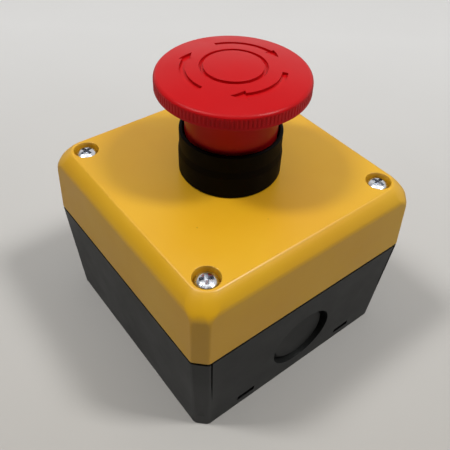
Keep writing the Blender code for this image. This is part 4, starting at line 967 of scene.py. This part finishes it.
def makeSpring(name, s, tree):
    piece = makeObject(bmesh.new(), name)
    closeRise = 2 * s["wire"] * coil["endPitch"] * s["turns"]
    endShare = coil["endTurns"] / s["turns"]
    runTree(piece, tree, {
        "Wire radius": s["wire"], "Coil radius": s["radius"], "Sweep": 2 * math.pi * s["turns"],
        "Close rise": closeRise, "Spare rise": s["length"] - 2 * s["wire"] - closeRise,
        "Spare start": endShare, "Spare end": 1 - endShare,
        "Points": s["turns"] * coil["pointsPerTurn"] + 1, "Wire sides": coil["wireSides"],
        "Material": materials["wire"]})
    piece.data.transform(Matrix.Translation(s["place"]) @ turnBy(s["turn"]) @ turnBy(s["lean"], "Y"))
    piece.data.shade_smooth()
    return finishPiece(piece, "steel", s["body"], s["node"], material=materials["wire"])


windings = springTree()
wound = {name: makeSpring(name, s, windings) for name, s in springs.items()}
for name, joint in pressed.items():
    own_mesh(wound[name])
for name, pawl in drawn.items():
    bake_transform(wound[name])


# CAD nodes that keep their shape

finishes = {
    "rubber": ("cover_gasket", "bezel_gasket"),
    "brass": ("boss_insert_", "contact_bridge_", "contact_terminal_"),
    "steel": ("lock_plate", "retaining_clip"),
    "black_plastic": ("fixing_nut", "stem", "block_adaptor", "contact_housing_"),
    "zinc": ("head_screw", "terminal_screw_"),
    "nylon": ("pusher", "latch_pawl_", "contact_plunger_"),
}
retinted = 0
for slotName, starts in finishes.items():
    for nodeName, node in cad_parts.items():
        if nodeName.startswith(starts):
            node.material_slots[0].material = materials[slotName]
            retinted += 1
print("CAD nodes with a new finish:", retinted)


# Floor, light and camera

stage = {
    # The floor's colour darkens from far to near, towards the viewer: painted shade
    "floorNearShaded": "#B4B0A9", "floorFar": "#E8E7E5", "floorReach": (-0.2, 0.13), "floorHalf": 2.5,
    "floorLevel": -0.02, "floorRoughness": 0.7, "cloudSize": 60.0, "cloudDetail": 3.0, "cloudShare": 0.1,
    "floorBounce": "#9A9894",  # what the object itself is lit by and mirrors
    "floorFade": (0.32, 0.9),  # metres from the object between which the floor runs into the backdrop
    "skyColour": "#C9C9CA", "skyFill": 0.02,
    # Pale room in reflections: brightest low down, and on its far side
    "glow": (0.75, 0.65), "glowRise": (0.6, 0.85), "glowSide": (-0.53, 0.85, 0.0), "glowReach": (-0.3, 0.5),
}
lamps = {
    "rightLamp": {"towards": (0.45, 0.38, 1.0), "distance": 1.3, "size": (0.18, 0.28), "power": 7.1},
    "leftLamp": {"towards": (-0.29, -0.45, 1.0), "distance": 1.3, "size": (0.18, 0.28), "power": 6.6},
    "overheadLamp": {"towards": (0.0, 0.001, 1.0), "distance": 1.6, "size": (1.4, 1.4), "power": 7.0},
}
view = {"eye": (96.405, -78.922, 157.202), "azimuth": 50.962, "elevation": 44.862, "roll": 2.298,
        "lens": 44.644, "sensor": 36.0}


def makeFloor():
    # Painted board: pale, with slow clouds, and painted shade that darkens it towards the viewer
    material, tree, shader, coords = startMaterial("paleFloorPainted")
    a = math.radians(view["azimuth"])
    # Painted shade: the floor's colour darkens towards the viewer
    nearness = addNode(tree, "ShaderNodeVectorMath", {0: coords, 1: (math.sin(a), -math.cos(a), 0.0)},
                       operation="DOT_PRODUCT")
    share = addNode(tree, "ShaderNodeMapRange", {
        "Value": nearness.outputs["Value"], **span("From", stage["floorReach"])})
    cloud = addNode(tree, "ShaderNodeTexNoise", {
        "Vector": coords, "Scale": patternScale(stage["cloudSize"]), "Detail": stage["cloudDetail"]})
    blend = addNode(tree, "ShaderNodeMath", {
        0: cloud.outputs["Fac"], 1: stage["cloudShare"],
        2: share.outputs["Result"]}, operation="MULTIPLY_ADD")
    tint = addNode(tree, "ShaderNodeMix", {
        0: blend.outputs[0], 6: hexToLinear(stage["floorFar"]), 7: hexToLinear(stage["floorNearShaded"])},
        data_type="RGBA")
    seen = addNode(tree, "ShaderNodeLightPath").outputs["Is Camera Ray"]
    shown = addNode(tree, "ShaderNodeMix", {
        0: seen, 6: hexToLinear(stage["floorBounce"]), 7: tint.outputs[2]}, data_type="RGBA")
    tree.links.new(shown.outputs[2], shader.inputs["Base Color"])
    shader.inputs["Roughness"].default_value = stage["floorRoughness"]
    away = addNode(tree, "ShaderNodeVectorMath", {0: coords}, operation="LENGTH")
    fade = addNode(tree, "ShaderNodeMapRange", {
        "Value": away.outputs["Value"], **span("From", stage["floorFade"])}, interpolation_type="SMOOTHSTEP")
    faded = addNode(tree, "ShaderNodeMath", {0: fade.outputs["Result"], 1: seen}, operation="MULTIPLY")
    backdrop = addNode(tree, "ShaderNodeEmission", {
        "Color": hexToLinear(stage["skyColour"]), "Strength": 1.0})
    both = addNode(tree, "ShaderNodeMixShader", {
        0: faded.outputs[0], 1: shader.outputs["BSDF"], 2: backdrop.outputs["Emission"]})
    tree.links.new(both.outputs[0], tree.nodes["Material Output"].inputs["Surface"])
    half = stage["floorHalf"] / metre
    bm = bmesh.new()
    bm.faces.new([bm.verts.new((x, y, stage["floorLevel"])) for x, y in fourTimes([(half, half)])])
    floor = makeObject(bm, "floor")
    floor.data.transform(Matrix.Scale(metre, 4))
    floor.data.materials.append(material)


def makeWorld():
    # Dim fill for the light, a pale room in the reflections, a pale backdrop for the camera
    world = bpy.data.worlds.new("studio")
    world.use_nodes = True
    scene.world = world
    tree = world.node_tree
    tree.nodes.clear()
    path = addNode(tree, "ShaderNodeLightPath").outputs
    seen = addNode(tree, "ShaderNodeMath", {
        0: path["Is Camera Ray"], 1: path["Is Transmission Ray"]}, operation="MAXIMUM")
    direction = addNode(tree, "ShaderNodeTexCoord").outputs["Generated"]
    rise = addNode(tree, "ShaderNodeSeparateXYZ", {0: direction}).outputs["Z"]
    glow = addNode(tree, "ShaderNodeMapRange", {
        "Value": rise, **span("From", stage["glowRise"]), **span("To", stage["glow"])})
    side = addNode(tree, "ShaderNodeVectorMath", {
        0: direction, 1: stage["glowSide"]}, operation="DOT_PRODUCT")
    share = addNode(tree, "ShaderNodeMapRange", {
        "Value": side.outputs["Value"], **span("From", stage["glowReach"])})
    room = addNode(tree, "ShaderNodeMath", {0: glow.outputs["Result"], 1: share.outputs["Result"]},
                   operation="MULTIPLY")
    strength = addNode(tree, "ShaderNodeMix", {
        0: path["Is Glossy Ray"], 2: stage["skyFill"], 3: room.outputs[0]}, data_type="FLOAT")
    fill = addNode(tree, "ShaderNodeBackground", {"Color": (1, 1, 1, 1), "Strength": strength.outputs[0]})
    backdrop = addNode(tree, "ShaderNodeBackground", {
        "Color": hexToLinear(stage["skyColour"]), "Strength": 1.0})
    both = addNode(tree, "ShaderNodeMixShader", {
        0: seen.outputs[0], 1: fill.outputs[0], 2: backdrop.outputs[0]})
    addNode(tree, "ShaderNodeOutputWorld", {"Surface": both.outputs[0]})


def makeLamp(name, lamp):
    data = bpy.data.lights.new(name, "AREA")
    data.shape = "RECTANGLE"
    data.size, data.size_y = lamp["size"]
    data.energy = lamp["power"]
    away = Vector(lamp["towards"]).normalized()
    light = bpy.data.objects.new(name, data)
    light.location = away * lamp["distance"]
    light.rotation_euler = away.to_track_quat("Z", "Y").to_euler()
    scene.collection.objects.link(light)


def makeCamera():
    a, e, roll = (math.radians(view[k]) for k in ("azimuth", "elevation", "roll"))
    back = Vector((math.sin(a) * math.cos(e), -math.cos(a) * math.cos(e), math.sin(e)))
    right = Vector((0, 0, 1)).cross(back).normalized()
    up = back.cross(right)
    c, s = math.cos(roll), math.sin(roll)
    turn = Matrix((c * right + s * up, c * up - s * right, back)).transposed()
    data = bpy.data.cameras.new("photoView")
    data.lens, data.sensor_width = view["lens"], view["sensor"]
    camera = bpy.data.objects.new("photoView", data)
    camera.matrix_world = Matrix.Translation(Vector(view["eye"]) * metre) @ turn.to_4x4()
    scene.collection.objects.link(camera)
    scene.camera = camera


makeFloor()
makeWorld()
for name, lamp in lamps.items():
    makeLamp(name, lamp)
makeCamera()
print("stage and camera ready")
